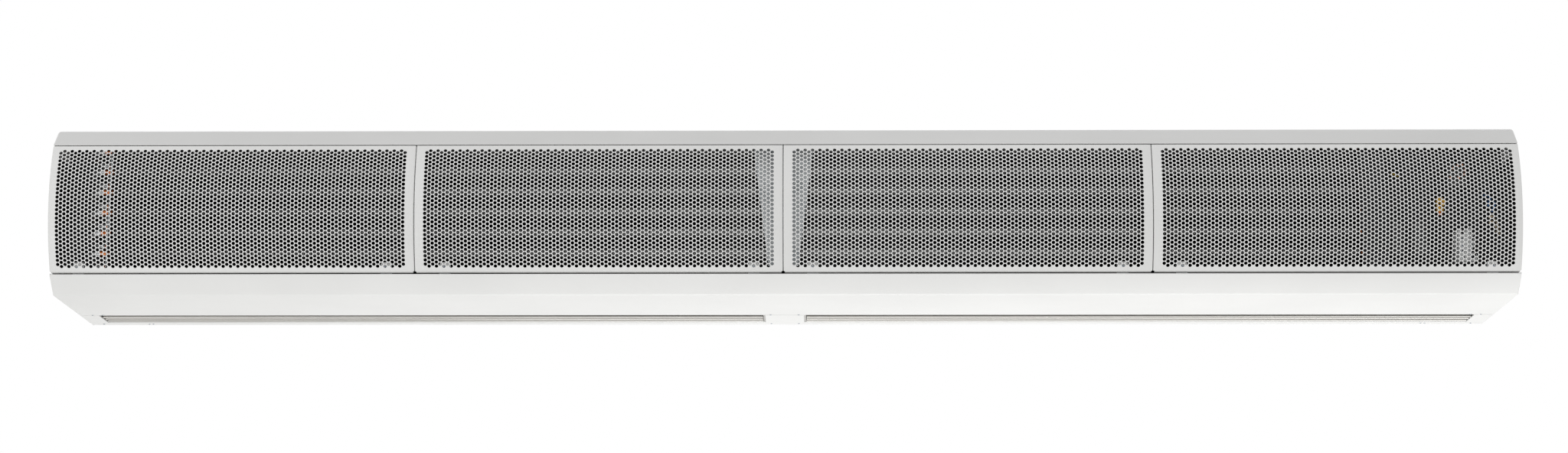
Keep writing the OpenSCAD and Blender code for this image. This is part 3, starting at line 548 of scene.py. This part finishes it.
# Folds an open edge round a radius, from startWay to endWay, and on by flat
def turnEdge(bm, edges, startWay, endWay, radius, flat, steps):
    for k in range(steps + 1):
        out = bmesh.ops.extrude_edge_only(bm, edges=edges)
        moved = set(newVerts(out))
        for v in moved:
            first, last = startWay(v), endWay(v)
            if k < steps:
                v.co += first.slerp(last, (k + 0.5) / steps) * radius * first.angle(last) / steps
            else:
                v.co += last * flat
        edges = [e for e in {e for v in moved for e in v.link_edges}
                 if all(v in moved for v in e.verts)]


# Flat perforated field: x across and y up along the curve, both from the middle hole
def perforatedField():
    bm = bmesh.new()
    bmesh.ops.create_circle(bm, segments=8, radius=perforation["holeWidth"] / 2 * 1.054)
    out = bmesh.ops.extrude_edge_only(bm, edges=bm.edges[:])
    for v in newVerts(out):  # square cell round the hole; neighbours share its eight points
        v.co.x = columnHalf * round(v.co.x / 2)
        v.co.y = rowHalf * round(v.co.y / 2)

    def copies(geom, count, step):
        for n in range(1, count + 1):
            twin = bmesh.ops.duplicate(bm, geom=geom)
            bmesh.ops.translate(bm, verts=newVerts(twin), vec=Vector(step) * n)

    copies(everything(bm), perforation["halfRows"], (0, perforation["pitch"], 0))
    bmesh.ops.translate(bm, verts=bm.verts, vec=(0, -perforation["halfRows"] * rowHalf, 0))
    twin = bmesh.ops.duplicate(bm, geom=everything(bm))
    bmesh.ops.translate(bm, verts=newVerts(twin), vec=(-2 * columnHalf, rowHalf, 0))
    oddTop = fieldHalf - rowHalf
    spare = [v for v in newVerts(twin) if v.co.y > oddTop + 0.01]
    bmesh.ops.delete(bm, geom=spare, context="VERTS")
    oddVerts = [v for v in bm.verts if v.co.x < -columnHalf - 0.01]
    bmesh.ops.remove_doubles(bm, verts=oddVerts, dist=0.01)
    for sign in (-1, 1):     # odd columns end half a row earlier, so they get a plain strip
        edges = openEdges(bm, lambda co: co.x < 0.01 - columnHalf
                          and abs(co.y - sign * oddTop) < 0.01)
        pushOut(bm, edges, lambda co: setattr(co, "y", sign * fieldHalf))
    oddFaces = [f for f in bm.faces if f.calc_center_median().x < -columnHalf]
    oddColumn = set(oddFaces)
    for f in oddFaces:
        oddColumn.update(f.verts, f.edges)
    pair = everything(bm)
    copies(pair, perforation["columns"] - 1, (4 * columnHalf, 0, 0))
    last = bmesh.ops.duplicate(bm, geom=list(oddColumn))
    bmesh.ops.translate(bm, verts=newVerts(last),
                        vec=(4 * columnHalf * perforation["columns"], 0, 0))
    bmesh.ops.remove_doubles(bm, verts=bm.verts, dist=0.01)
    bmesh.ops.translate(bm, verts=bm.verts,
                        vec=(-2 * columnHalf * (perforation["columns"] - 1), 0, 0))
    return bm


screwHole = {
    "reach": 2.3,        # the hole's own points lie nearer its middle than this
    "widen": 1.17,
    "lower": 1.4,        # how far its lower, middle and upper points move
    "middle": 0.6,
    "upper": 0.25,
    "edge": 1.3,
}


# The screws' holes are a little larger and reach into the plain edge
def widenScrewHoles(bm):
    across = perforation["screwColumn"] * 2 * columnHalf
    for side in (-1, 1):
        centre = Vector((side * across, rowHalf - fieldHalf, 0))
        for v in bm.verts:
            away = v.co - centre
            if away.length < screwHole["reach"]:
                v.co.x = centre.x + away.x * screwHole["widen"]
                if away.y < -0.5:
                    v.co.y -= screwHole["lower"]
                elif away.y < 0.5:
                    v.co.y -= screwHole["middle"]
                else:
                    v.co.y += screwHole["upper"]
            elif abs(away.x) < columnHalf + 0.1 and abs(away.y + rowHalf) < 0.1:
                v.co.y -= screwHole["edge"]


def makeGrille(number):
    node = f"grille_{number}"
    low, high = casingBox(node)
    middle = (number - 2.5) * grillePitch
    radius, tilt, fold = casing["curveRadius"], perforation["middleTilt"], grilleFold["radius"]
    x1, x2 = low.x - middle, high.x - middle
    if number == 1:          # the outer ends reach over the end plates
        x1 = grilleFold["endGap"] - casing["halfLength"] - middle
    if number == 4:
        x2 = casing["halfLength"] - grilleFold["endGap"] - middle

    def along(height):       # way along the curve from the middle row up to a height
        return (math.asin((height - casing["curveHeight"]) / radius) - tilt) * radius

    def inward(v):           # towards the curve's middle line
        return Vector((0, radius - v.co.y, casing["curveHeight"] - v.co.z)).normalized()

    def downward(v):
        towards = inward(v)
        return Vector((0, towards.z, -towards.y))

    bm = perforatedField()
    widenScrewHoles(bm)
    pushOut(bm, openEdges(bm, lambda co: co.x < 0.01 - fieldWide),
            lambda co: setattr(co, "x", x1 + fold))
    pushOut(bm, openEdges(bm, lambda co: co.x > fieldWide - 0.01),
            lambda co: setattr(co, "x", x2 - fold))
    pushOut(bm, openEdges(bm, lambda co: co.y > fieldHalf - 0.01),
            lambda co: setattr(co, "y", along(high.z)))
    foldStart = along(low.z) + fold * grilleFold["lowerShare"]
    bottomEdges = pushOut(bm, openEdges(bm, lambda co: co.y < 0.01 - fieldHalf),
                          lambda co: setattr(co, "y", foldStart))
    leftEdges = openEdges(bm, lambda co: co.x < x1 + fold + 0.01)
    rightEdges = openEdges(bm, lambda co: co.x > x2 - fold - 0.01)
    for v in bm.verts:       # bend the flat field round the curve
        angle = tilt + v.co.y / radius
        v.co = Vector((v.co.x + middle, radius - radius * math.cos(angle),
                       casing["curveHeight"] + radius * math.sin(angle)))
    steps, sideDepth = grilleFold["steps"], grilleFold["sideDepth"] - fold
    turnEdge(bm, leftEdges, lambda v: Vector((-1, 0, 0)), inward, fold, sideDepth, steps)
    turnEdge(bm, rightEdges, lambda v: Vector((1, 0, 0)), inward, fold, sideDepth, steps)
    turnEdge(bm, bottomEdges, downward, lambda v: Vector((0, 1, 0)), fold,
             grilleFold["bottomDepth"], steps)
    bmesh.ops.recalc_face_normals(bm, faces=bm.faces)
    if sum(f.normal.dot(inward(f.verts[0])) for f in bm.faces) > 0:
        bmesh.ops.reverse_faces(bm, faces=bm.faces)
    bmesh.ops.solidify(bm, geom=bm.faces[:], thickness=perforation["sheet"])
    bmesh.ops.recalc_face_normals(bm, faces=bm.faces)
    for side in (-1, 1):     # upright tabs that hold the screws, behind the holes
        x, y = middle + side * grilleTab["offset"], grilleTab["depth"]
        addBox(bm, (x - grilleTab["width"] / 2, y, low.z),
               (x + grilleTab["width"] / 2, y + casing["sheet"], low.z + grilleTab["height"]), 0.3)
    finishPiece(bm, f"grille{number}", node, "white_paint", whitePaint, node)


for number in range(1, 5):
    makeGrille(number)
print("grilles: four perforated panels")


# Tube along a path, turned along with it so that it never twists
def addTube(bm, path, radius, segments=12):
    path = [Vector(point) for point in path]
    ways = [(b - a).normalized() for a, b in zip(path, path[1:])]
    tangents = ways[:1] + [(p + q).normalized() for p, q in zip(ways, ways[1:])] + ways[-1:]
    turn = tangents[0].to_track_quat("Z", "Y").to_matrix().to_4x4()
    ring = bmesh.ops.create_circle(bm, cap_ends=True, segments=segments, radius=radius,
                                   matrix=Matrix.Translation(path[0]) @ turn)["verts"]
    face = ring[0].link_faces[0]
    for k in range(1, len(path)):
        out = bmesh.ops.extrude_face_region(bm, geom=[face])["geom"]
        face = next(item for item in out if isinstance(item, bmesh.types.BMFace))
        turn = tangents[k - 1].rotation_difference(tangents[k]).to_matrix().to_4x4()
        bmesh.ops.transform(bm, verts=face.verts[:], matrix=Matrix.Translation(path[k]) @ turn
                            @ Matrix.Translation(-path[k - 1]))
    bmesh.ops.recalc_face_normals(bm, faces=bm.faces)


def softCorners(points, ease, steps=5):
    points = [Vector(point) for point in points]
    path = [points[0]]
    for before, corner, after in zip(points, points[1:], points[2:]):
        start = corner + (before - corner).normalized() * min(ease, (before - corner).length * 0.45)
        end = corner + (after - corner).normalized() * min(ease, (after - corner).length * 0.45)
        path += [Vector(p) for p in quadraticBow(start, corner, end, steps)]
    return path + [points[-1]]


coil = {
    "rows": ((89.0, 47.0), (63.0, 62.0)),   # depth and lowest height of the rear and front tubes
    "pitch": 30.0,
    "each": 6,
    "tubeRadius": 4.8,
    "collarRadius": 7.0,
    "stub": 14.0,
    "bendRadius": 5.15,      # a return bend slips over the tubes' ends
    "overlap": 3.0,
    "finPitch": 2.5,
    "finThick": 0.22,
}
coilLow, coilHigh = casingBox("coil_fins")
plateLeft, plateRight = casingBox("coil_end_plates")[0].x, casingBox("coil_end_plates")[1].x


def tubePlace(k):
    depth, lowest = coil["rows"][k % 2]
    return Vector((0, depth, lowest + coil["pitch"] * (k // 2)))


def makeFins():
    bm = bmesh.new()
    count = int((coilHigh.x - coilLow.x) / coil["finPitch"])
    first = (coilLow.x + coilHigh.x - count * coil["finPitch"]) / 2
    for k in range(count + 1):
        x = first + k * coil["finPitch"]
        addBox(bm, (x - coil["finThick"] / 2, coilLow.y, coilLow.z),
               (x + coil["finThick"] / 2, coilHigh.y, coilHigh.z))
    # near-black fins: painted shade for the dark inside of the coil
    finishPiece(bm, "coilFins", "casing", "fin_aluminium", finShadeBlack, "coil_fins")


def makeCollars():
    bm = bmesh.new()
    for k in range(2 * coil["each"]):
        start, end = tubePlace(k), tubePlace(k)
        start.x, end.x = coilLow.x - 1, coilHigh.x + 1
        addRod(bm, start, end, coil["collarRadius"], 16)
    # the collars' near-white colour is painted highlight
    finishPiece(bm, "coilCollars", "casing", "fin_aluminium", collarPaintedHighlight, "coil_tubes")


def makeTubeEnds():
    bm = bmesh.new()
    for k in range(2 * coil["each"]):
        for edge, side in ((plateLeft, -1), (plateRight, 1)):
            start, end = tubePlace(k), tubePlace(k)
            start.x, end.x = edge - side * coil["overlap"], edge + side * coil["stub"]
            addRod(bm, start, end, coil["tubeRadius"], 20)
    finishPiece(bm, "tubeEnds", "casing", "copper", copper, "coil_tubes")


def makeReturnBends():
    bm = bmesh.new()
    pairs = [(k, -1) for k in range(0, 2 * coil["each"], 2)]
    pairs += [(k, 1) for k in range(1, 2 * coil["each"] - 1, 2)]
    for k, side in pairs:
        a, b = tubePlace(k), tubePlace(k + 1)
        start = plateLeft - coil["stub"] if side < 0 else plateRight + coil["stub"]
        middle, across = (a + b) / 2, (a - b) / 2
        inner = Vector((start - side * coil["overlap"], 0, 0))
        path = [a + inner]
        path += [middle + Vector((start, 0, 0)) + across * math.cos(turn)
                 + Vector((side * across.length * math.sin(turn), 0, 0))
                 for turn in (math.pi * step / 16 for step in range(17))]
        path.append(b + inner)
        addTube(bm, path, coil["bendRadius"], 20)
    # light grey bends: painted highlight in place of glints on copper
    finishPiece(bm, "returnBends", "casing", "copper", bendsPaintedHighlight, "coil_tubes")


makeFins()
makeCollars()
makeTubeEnds()
makeReturnBends()
print("coil: fins, collars, tube ends and return bends")


slat = {
    "depths": (227.7, 241.7, 255.7),
    "height": 11.5,
    "chord": 22.0,
    "thick": 4.0,
    "start": 32.4,
    "end": 1007.6,
    "pinStart": 28.9,
    "pinEnd": 1014.6,
    "pinRadius": 1.6,
    "crankAt": 1012.1,
    "crankThick": 2.0,
    "crankLength": 10.0,
    "crankHalf": 2.0,
    "hubRadius": 3.6,
    "eyeRadius": 2.6,
    "stubRadius": 1.2,       # of the pin that runs in the link bar's slot
    "stubLength": 4.0,
    "tailShare": 0.25,       # how thick the upper edge is beside the nose
}


def makeSlat(side, number):
    sideName = "left" if side < 0 else "right"
    y, z, half = slat["depths"][number - 1], slat["height"], slat["chord"] / 2
    bm = bmesh.new()
    nose, outline = slat["thick"] / 2, []
    for k in range(13):      # round nose below, thin trailing edge above
        turn = math.pi * k / 12
        outline.append((y - nose * math.cos(turn), z - half + nose - nose * math.sin(turn)))
    flanks = []
    for share in (0.3, 0.6, 0.85, 1.0):
        wide = nose * (1 - (1 - slat["tailShare"]) * share ** 1.8)
        flanks.append((wide, z - half + nose + (2 * half - nose) * share))
    outline += [(y + wide, height) for wide, height in flanks]
    outline += [(y - wide, height) for wide, height in reversed(flanks)]
    extrudeOutline(bm, outline, slat["start"], slat["end"])
    addRod(bm, (slat["pinStart"], y, z), (slat["pinEnd"], y, z), slat["pinRadius"], 16, 0.3)
    x1, x2 = slat["crankAt"], slat["crankAt"] + slat["crankThick"]
    top, wide = z + slat["crankLength"], slat["crankHalf"]
    addRod(bm, (x1, y, z), (x2, y, z), slat["hubRadius"], 24, 0.3)
    addBox(bm, (x1, y - wide, z), (x2, y + wide, top), 0.3)
    addRod(bm, (x1, y, top), (x2, y, top), slat["eyeRadius"], 20, 0.3)
    addRod(bm, (x2 - 0.1, y, top), (x2 + slat["stubLength"], y, top), slat["stubRadius"], 14, 0.3)
    if side < 0:
        bmesh.ops.scale(bm, verts=bm.verts, vec=(-1, 1, 1))
    bmesh.ops.recalc_face_normals(bm, faces=bm.faces)
    node = f"slat_{sideName}_{number}"
    finishPiece(bm, f"slat{sideName.capitalize()}{number}", node, "anodised_aluminium",
                slatAluminium, node, sharpAngle=40)


for side in (-1, 1):
    for number in (1, 2, 3):
        makeSlat(side, number)


rivet = {
    "radius": 1.5,
    "rise": 0.8,
    "places": ((1016.6, 201), (1001.6, 201), (1016.6, 269), (948.6, 269), (942.6, 269),
               (20.4, 201), (20.4, 269)),
}


def makeRivets():
    bm = bmesh.new()
    profile = [(rivet["radius"], 0), (rivet["radius"], -0.2), (1.3, -0.45), (1.05, -0.7),
               (0.8, -rivet["rise"]), (0.7, 0.3), (0, 0.5)]
    for side in (-1, 1):
        for x, y in rivet["places"]:
            line = [bm.verts.new((side * x + r, y, z)) for r, z in profile]
            edges = [bm.edges.new(pair) for pair in zip(line, line[1:])]
            bmesh.ops.spin(bm, geom=line + edges, cent=(side * x, y, 0), axis=(0, 0, 1),
                           angle=2 * math.pi, steps=20, use_merge=True)
    bmesh.ops.remove_doubles(bm, verts=bm.verts, dist=0.001)
    bmesh.ops.recalc_face_normals(bm, faces=bm.faces)
    finishPiece(bm, "casingRivets", "casing", "zinc_steel", zinc, "casing_rivets")


makeRivets()
print("outlets: slats and rivets")


# Electrics in the right-hand compartment
block = {
    "low": (956.0, 56.0, 47.5),
    "high": (981.0, 96.0, 95.5),
    "columns": (6.0, 19.0),
    "firstHole": 6.0,
    "pitch": 9.0,
    "ways": 5,
    "hole": 2.4,
    "firstGroove": 10.5,
    "grooveRadius": 1.2,
    "grooveFront": 0.6,      # the grooves' middle lies this far in front
}
plateFront = 95.95           # the backing plate's front face


def makeTerminalBlock():
    low, high = block["low"], block["high"]
    bm = bmesh.new()
    addBox(bm, low, high, 1.0, 3)
    spots = [(low[0] + x, low[2] + block["firstHole"] + n * block["pitch"])
             for x in block["columns"] for n in range(block["ways"])]
    piece = finishPiece(bm, "terminalBlock", "casing", "grey_plastic", greyPlastic,
                        "terminal_block")
    rods = [((x, low[1] - 1, z), (x, low[1] + 9, z), block["hole"]) for x, z in spots]
    front = low[1] - block["grooveFront"]
    for n in range(block["ways"] - 1):
        z = low[2] + block["firstGroove"] + n * block["pitch"]
        rods.append(((low[0] - 1, front, z), (high[0] + 1, front, z), block["grooveRadius"]))
    drill(piece, rods)
    screws = bmesh.new()
    for x, z in spots:
        addRod(screws, (x, low[1] + 4, z), (x, low[1] + 8.9, z), block["hole"] - 0.1, 20, 0.3)
        addBox(screws, (x - 1.7, low[1] + 3.6, z - 0.3), (x + 1.7, low[1] + 4.2, z + 0.3), 0.1)
    finishPiece(screws, "terminalScrews", "casing", "zinc_steel", zinc)


capacitor = {
    "places": ((872.0, 81.0), (906.0, 81.0)),
    "bottom": 59.5,
    "top": 113.5,
    "radius": 15.0,
}


def makeCapacitors():
    bm = bmesh.new()
    low, high, r = capacitor["bottom"], capacitor["top"], capacitor["radius"]
    profile = [(0, low), (r - 1.5, low), (r - 0.4, low + 0.6), (r, low + 2), (r, high - 9),
               (r - 1.2, high - 8), (r - 1.2, high - 7), (r, high - 6), (r, high - 4.6),
               (r - 0.8, high - 4), (r - 2.2, high - 4), (r - 2.6, high - 5), (0, high - 5)]
    for x, y in capacitor["places"]:
        line = [bm.verts.new((x + along, y, z)) for along, z in profile]
        edges = [bm.edges.new(pair) for pair in zip(line, line[1:])]
        bmesh.ops.spin(bm, geom=line + edges, cent=(x, y, 0), axis=(0, 0, 1),
                       angle=2 * math.pi, steps=40, use_merge=True)
    bmesh.ops.remove_doubles(bm, verts=bm.verts, dist=0.001)
    bmesh.ops.recalc_face_normals(bm, faces=bm.faces)
    for x, y in capacitor["places"]:
        for way in (-5, 5):
            addBox(bm, (x + way - 0.4, y - 3, high - 5.5), (x + way + 0.4, y + 3, high), 0.15)
    finishPiece(bm, "capacitors", "casing", nodeSlots["capacitors"],
                slotFinishes[nodeSlots["capacitors"]], "capacitors")


relay = {
    "low": (948.0, 66.0, 159.5),
    "high": (976.0, 96.0, 199.5),
    "baseDeep": 6.0,
    "leverHalf": 1.6,
    "levers": ((956.5, 186), (969, 190.5), (963, 190), (963.5, 172), (952, 172), (973, 183),
               (972, 177)),
}


def makeRelay():
    low, high = relay["low"], relay["high"]
    bm = bmesh.new()
    base = high[1] - relay["baseDeep"]
    addBox(bm, (low[0], low[1] + 2, low[2]), (high[0], base, high[2] - 6), 1.6, 4)
    addBox(bm, (low[0] + 0.6, base - 0.5, low[2]), (high[0] - 0.6, high[1], high[2] - 0.6), 0.5)
    finishPiece(bm, "relayBody", "casing", "black_plastic", blackPlastic, "relay")
    bm = bmesh.new()         # small orange levers on the front
    half = relay["leverHalf"]
    for x, z in relay["levers"]:
        addBox(bm, (x - half, low[1], z - half), (x + half, low[1] + 3, z + half), 0.4)
    finishPiece(bm, "relayClamps", "casing", "orange_plastic", orangePlastic, "relay")


wires = {
    "radius": 1.3,
    "earthRadius": 1.6,
    "sleeve": 0.6,
    "ease": 4.0,
    "spread": 8,         # between two wires of a colour
    "wallBend": 86,      # how far back the last bend before the plate lies
    "blueAt": (1010, 52, 131.5),
    "beigeKnee": (1002, 43),
    "beigeAt": (1018, 68),
    "earth": [(962, 56, 89.5), (962, 47, 89.5), (952, 50, 147.5), (892, 54, 167.5),
              (880, 84, 179.5), (872, 86, 183.5), (872, plateFront, 183.5)],
}


def wireRoutes():
    x, front, low = block["high"][0] - 6, block["low"][1], block["low"][2]
    back, pitch = wires["wallBend"], block["pitch"]
    routes = {"blue": [], "beige": []}
    for n in (0, 1):
        across, deep, z = Vector(wires["blueAt"]) + Vector((-6, 0, wires["spread"])) * n
        start = low + block["firstHole"] + pitch * n
        routes["blue"].append([(x, front, start), (x, 47, start), (across, deep, z),
                               (across, back, z + 12), (across, plateFront, z + 12)])
        (kneeX, kneeY), (across, deep) = wires["beigeKnee"], wires["beigeAt"]
        start += 3 * pitch
        z = low + 42 + wires["spread"] * n
        routes["beige"].append([(x, front, start), (x, 44, start), (kneeX, kneeY, z + 14),
                                (across, deep, z + 2), (across, back, z),
                                (across, plateFront, z)])
    return routes


# Black sleeve from inside the terminal to a share of the way to the last point
def addSleeve(bm, route, share, radius):
    path = [Vector(point) for point in route]
    path[0].y -= 2
    path[-1] = path[-2].lerp(path[-1], share)
    addTube(bm, softCorners(path, wires["ease"]), radius + wires["sleeve"])


def makeWires():
    routes = wireRoutes()
    for name, finish in (("blue", blueWire), ("beige", beigeWire)):
        bm = bmesh.new()
        for route in routes[name]:
            addTube(bm, softCorners(route, wires["ease"]), wires["radius"])
        finishPiece(bm, name + "Wires", "casing", name + "_insulation", finish, name + "_wires",
                    sharpAngle=60)
    bm = bmesh.new()
    addTube(bm, softCorners(wires["earth"], wires["ease"]), wires["earthRadius"])
    finishPiece(bm, "earthWire", "casing", "yellow_insulation", yellowWire, "earth_wire",
                sharpAngle=60)
    bm = bmesh.new()
    for route in routes["blue"] + routes["beige"]:
        addSleeve(bm, route[:3], 0.82, wires["radius"])
    addSleeve(bm, wires["earth"][:5], 0.8, wires["earthRadius"])
    finishPiece(bm, "wireSleeves", "casing", "bearing_rubber", rubber, sharpAngle=60)


piping = {
    "radius": 8.0,           # foam sleeve on the water pipes
    "flow": [(834, 63, 212), (858, 63, 212), (858, 82, 212), (858, 82, 219)],
    "return": [(834, 89, 47), (938, 89, 47), (938, 82, 47), (938, 82, 219)],
    "valveGap": (119.0, 141.0),
}


# Black foam sleeves on the water pipes, with a gap for the bleed valve
def makePipeSleeves():
    bm = bmesh.new()
    addTube(bm, softCorners(piping["flow"], 8), piping["radius"], 20)
    low, high = piping["valveGap"]
    addTube(bm, softCorners(piping["return"][:3] + [(938, 82, low)], 6), piping["radius"], 20)
    addTube(bm, [(938, 82, high), (938, 82, 219)], piping["radius"], 20)
    finishPiece(bm, "pipeSleeves", "casing", "bearing_rubber", rubber, sharpAngle=50)


bendShadeSheet = {
    "start": 818.5,
    "end": 856.0,
    "front": 47.5,
    "back": 57.0,
    "endGap": 0.5,
    "fold": 1.5,
    "thick": 1.0,
}


# Black folded sheet in front of the right-hand return bends: painted shade, a dark sheet that keeps
# the compartment black
def makeBendShadeSheet():
    low, high = coilLow.z + bendShadeSheet["endGap"], coilHigh.z - bendShadeSheet["endGap"]
    bm = bmesh.new()
    line = [(bendShadeSheet["start"], bendShadeSheet["front"]), (bendShadeSheet["end"], bendShadeSheet["front"]),
            (bendShadeSheet["end"], bendShadeSheet["back"])]
    row = [bm.verts.new((x, y, low)) for x, y in line]
    rungs = [bm.edges.new(pair) for pair in zip(row, row[1:])]
    out = bmesh.ops.extrude_edge_only(bm, edges=rungs)
    bmesh.ops.translate(bm, verts=newVerts(out), vec=(0, 0, high - low))
    bmesh.ops.recalc_face_normals(bm, faces=bm.faces)
    if sum(f.normal.y for f in bm.faces) > 0:
        bmesh.ops.reverse_faces(bm, faces=bm.faces)
    fold = [e for e in bm.edges if len(e.link_faces) == 2]
    roundEdges(bm, fold, bendShadeSheet["fold"], 4)
    bmesh.ops.solidify(bm, geom=bm.faces[:], thickness=bendShadeSheet["thick"])
    bmesh.ops.recalc_face_normals(bm, faces=bm.faces)
    finishPiece(bm, "bendShadeSheet", "casing", "dark_steel", darkSteel)


shadeLining = {"thick": 3.0, "front": 16.0, "back": 262.0, "low": 36.0, "high": 196.0}


# Black foam on the inner faces of the end plates: painted shade, a dark lining that keeps the
# inside behind the grille black
def makeShadeLining():
    bm = bmesh.new()
    heights = [shadeLining["high"] + (shadeLining["low"] - shadeLining["high"]) * k / 16 for k in range(17)]
    outline = [(frontDepth(z) + shadeLining["front"], z) for z in heights]
    outline += [(shadeLining["back"], shadeLining["low"]), (shadeLining["back"], shadeLining["high"])]
    for side in (-1, 1):
        extrudeOutline(bm, outline, side * (sheetEnd - 0.05), side * (sheetEnd - shadeLining["thick"]))
    finishPiece(bm, "foamPaintedShade", "casing", "bearing_rubber", rubber, sharpAngle=50)


makePipeSleeves()
makeBendShadeSheet()
makeShadeLining()
makeTerminalBlock()
makeCapacitors()
makeRelay()
makeWires()
print("electrics: terminals, capacitors, relay and wires")


# Camera, light and floor
photo = {
    "place": (50.4, -3833.0, -785.6),    # millimetres in the casing's frame
    "lens": 64.4,
    "pitch": math.radians(12.82),
    "yaw": math.radians(0.732),
    "roll": math.radians(0.09),
}


def addCamera():
    data = bpy.data.cameras.new("photoCamera")
    data.lens = photo["lens"]
    data.sensor_width = 36
    data.sensor_fit = "HORIZONTAL"
    data.clip_start, data.clip_end = 0.05, 60
    camera = bpy.data.objects.new("photoCamera", data)
    bpy.context.scene.collection.objects.link(camera)
    turn = (Matrix.Rotation(photo["yaw"], 4, "Z")
            @ Matrix.Rotation(math.pi / 2 + photo["pitch"], 4, "X")
            @ Matrix.Rotation(photo["roll"], 4, "Z"))
    camera.matrix_world = Matrix.Translation(toRow @ Vector(photo["place"])) @ turn
    bpy.context.scene.camera = camera


# Pale light from all round, a little stronger from below. Camera, mirror and glass rays see white
sky = {"From Min": -0.6, "From Max": 0.9, "To Min": 1.45, "To Max": 0.7}


def addWorld():
    world = bpy.data.worlds.new("studio")
    bpy.context.scene.world = world
    world.use_nodes = True
    nodes, links = world.node_tree.nodes, world.node_tree.links
    nodes.clear()
    way = nodes.new("ShaderNodeTexCoord")
    split = nodes.new("ShaderNodeSeparateXYZ")
    links.new(way.outputs["Generated"], split.inputs[0])
    span = nodes.new("ShaderNodeMapRange")
    links.new(split.outputs["Z"], span.inputs["Value"])
    for key, value in sky.items():
        span.inputs[key].default_value = value
    soft = nodes.new("ShaderNodeBackground")
    links.new(span.outputs["Result"], soft.inputs["Strength"])
    white = nodes.new("ShaderNodeBackground")
    white.inputs["Color"].default_value = (1, 1, 1, 1)
    path = nodes.new("ShaderNodeLightPath")
    seen = path.outputs["Is Camera Ray"]
    for ray in ("Is Glossy Ray", "Is Transmission Ray"):
        either = nodes.new("ShaderNodeMath")
        either.operation = "MAXIMUM"
        links.new(seen, either.inputs[0])
        links.new(path.outputs[ray], either.inputs[1])
        seen = either.outputs[0]
    mix = nodes.new("ShaderNodeMixShader")
    links.new(seen, mix.inputs[0])
    links.new(soft.outputs[0], mix.inputs[1])
    links.new(white.outputs[0], mix.inputs[2])
    out = nodes.new("ShaderNodeOutputWorld")
    links.new(mix.outputs[0], out.inputs["Surface"])


def addSoftbox(name, place, target, size, watts):
    data = bpy.data.lights.new(name, "AREA")
    data.shape = "RECTANGLE"
    data.size, data.size_y = size
    data.energy = watts
    lamp = bpy.data.objects.new(name, data)
    bpy.context.scene.collection.objects.link(lamp)
    turn = (Vector(target) - Vector(place)).to_track_quat("-Z", "Y").to_matrix().to_4x4()
    lamp.matrix_world = Matrix.Translation(Vector(place)) @ turn


paleFloor = {"halfSize": 9, "drop": 2.3}     # metres; drop is from the wall bolts to the floor


def addFloor():
    bm = bmesh.new()
    bmesh.ops.create_grid(bm, x_segments=1, y_segments=1, size=paleFloor["halfSize"])
    bmesh.ops.translate(bm, verts=bm.verts, vec=(0, 0, -paleFloor["drop"]))
    mesh = bpy.data.meshes.new("floor")
    bm.to_mesh(mesh)
    bm.free()
    mesh.materials.append(newMaterial("paleFloor", "ebebe9", 0.9)[0])
    floor = bpy.data.objects.new("floor", mesh)
    bpy.context.scene.collection.objects.link(floor)


addCamera()
addWorld()
addFloor()
addSoftbox("lowBox", (0.7, 0.6, -2.1), (0.6, 0.3, 0), (3.2, 1.6), 38)
addSoftbox("frontBox", (-2.3, -3.1, -1.5), (-0.7, 0, 0), (2.6, 1.4), 21)
bpy.context.scene.view_settings.view_transform = "Standard"
print("camera, light and floor")
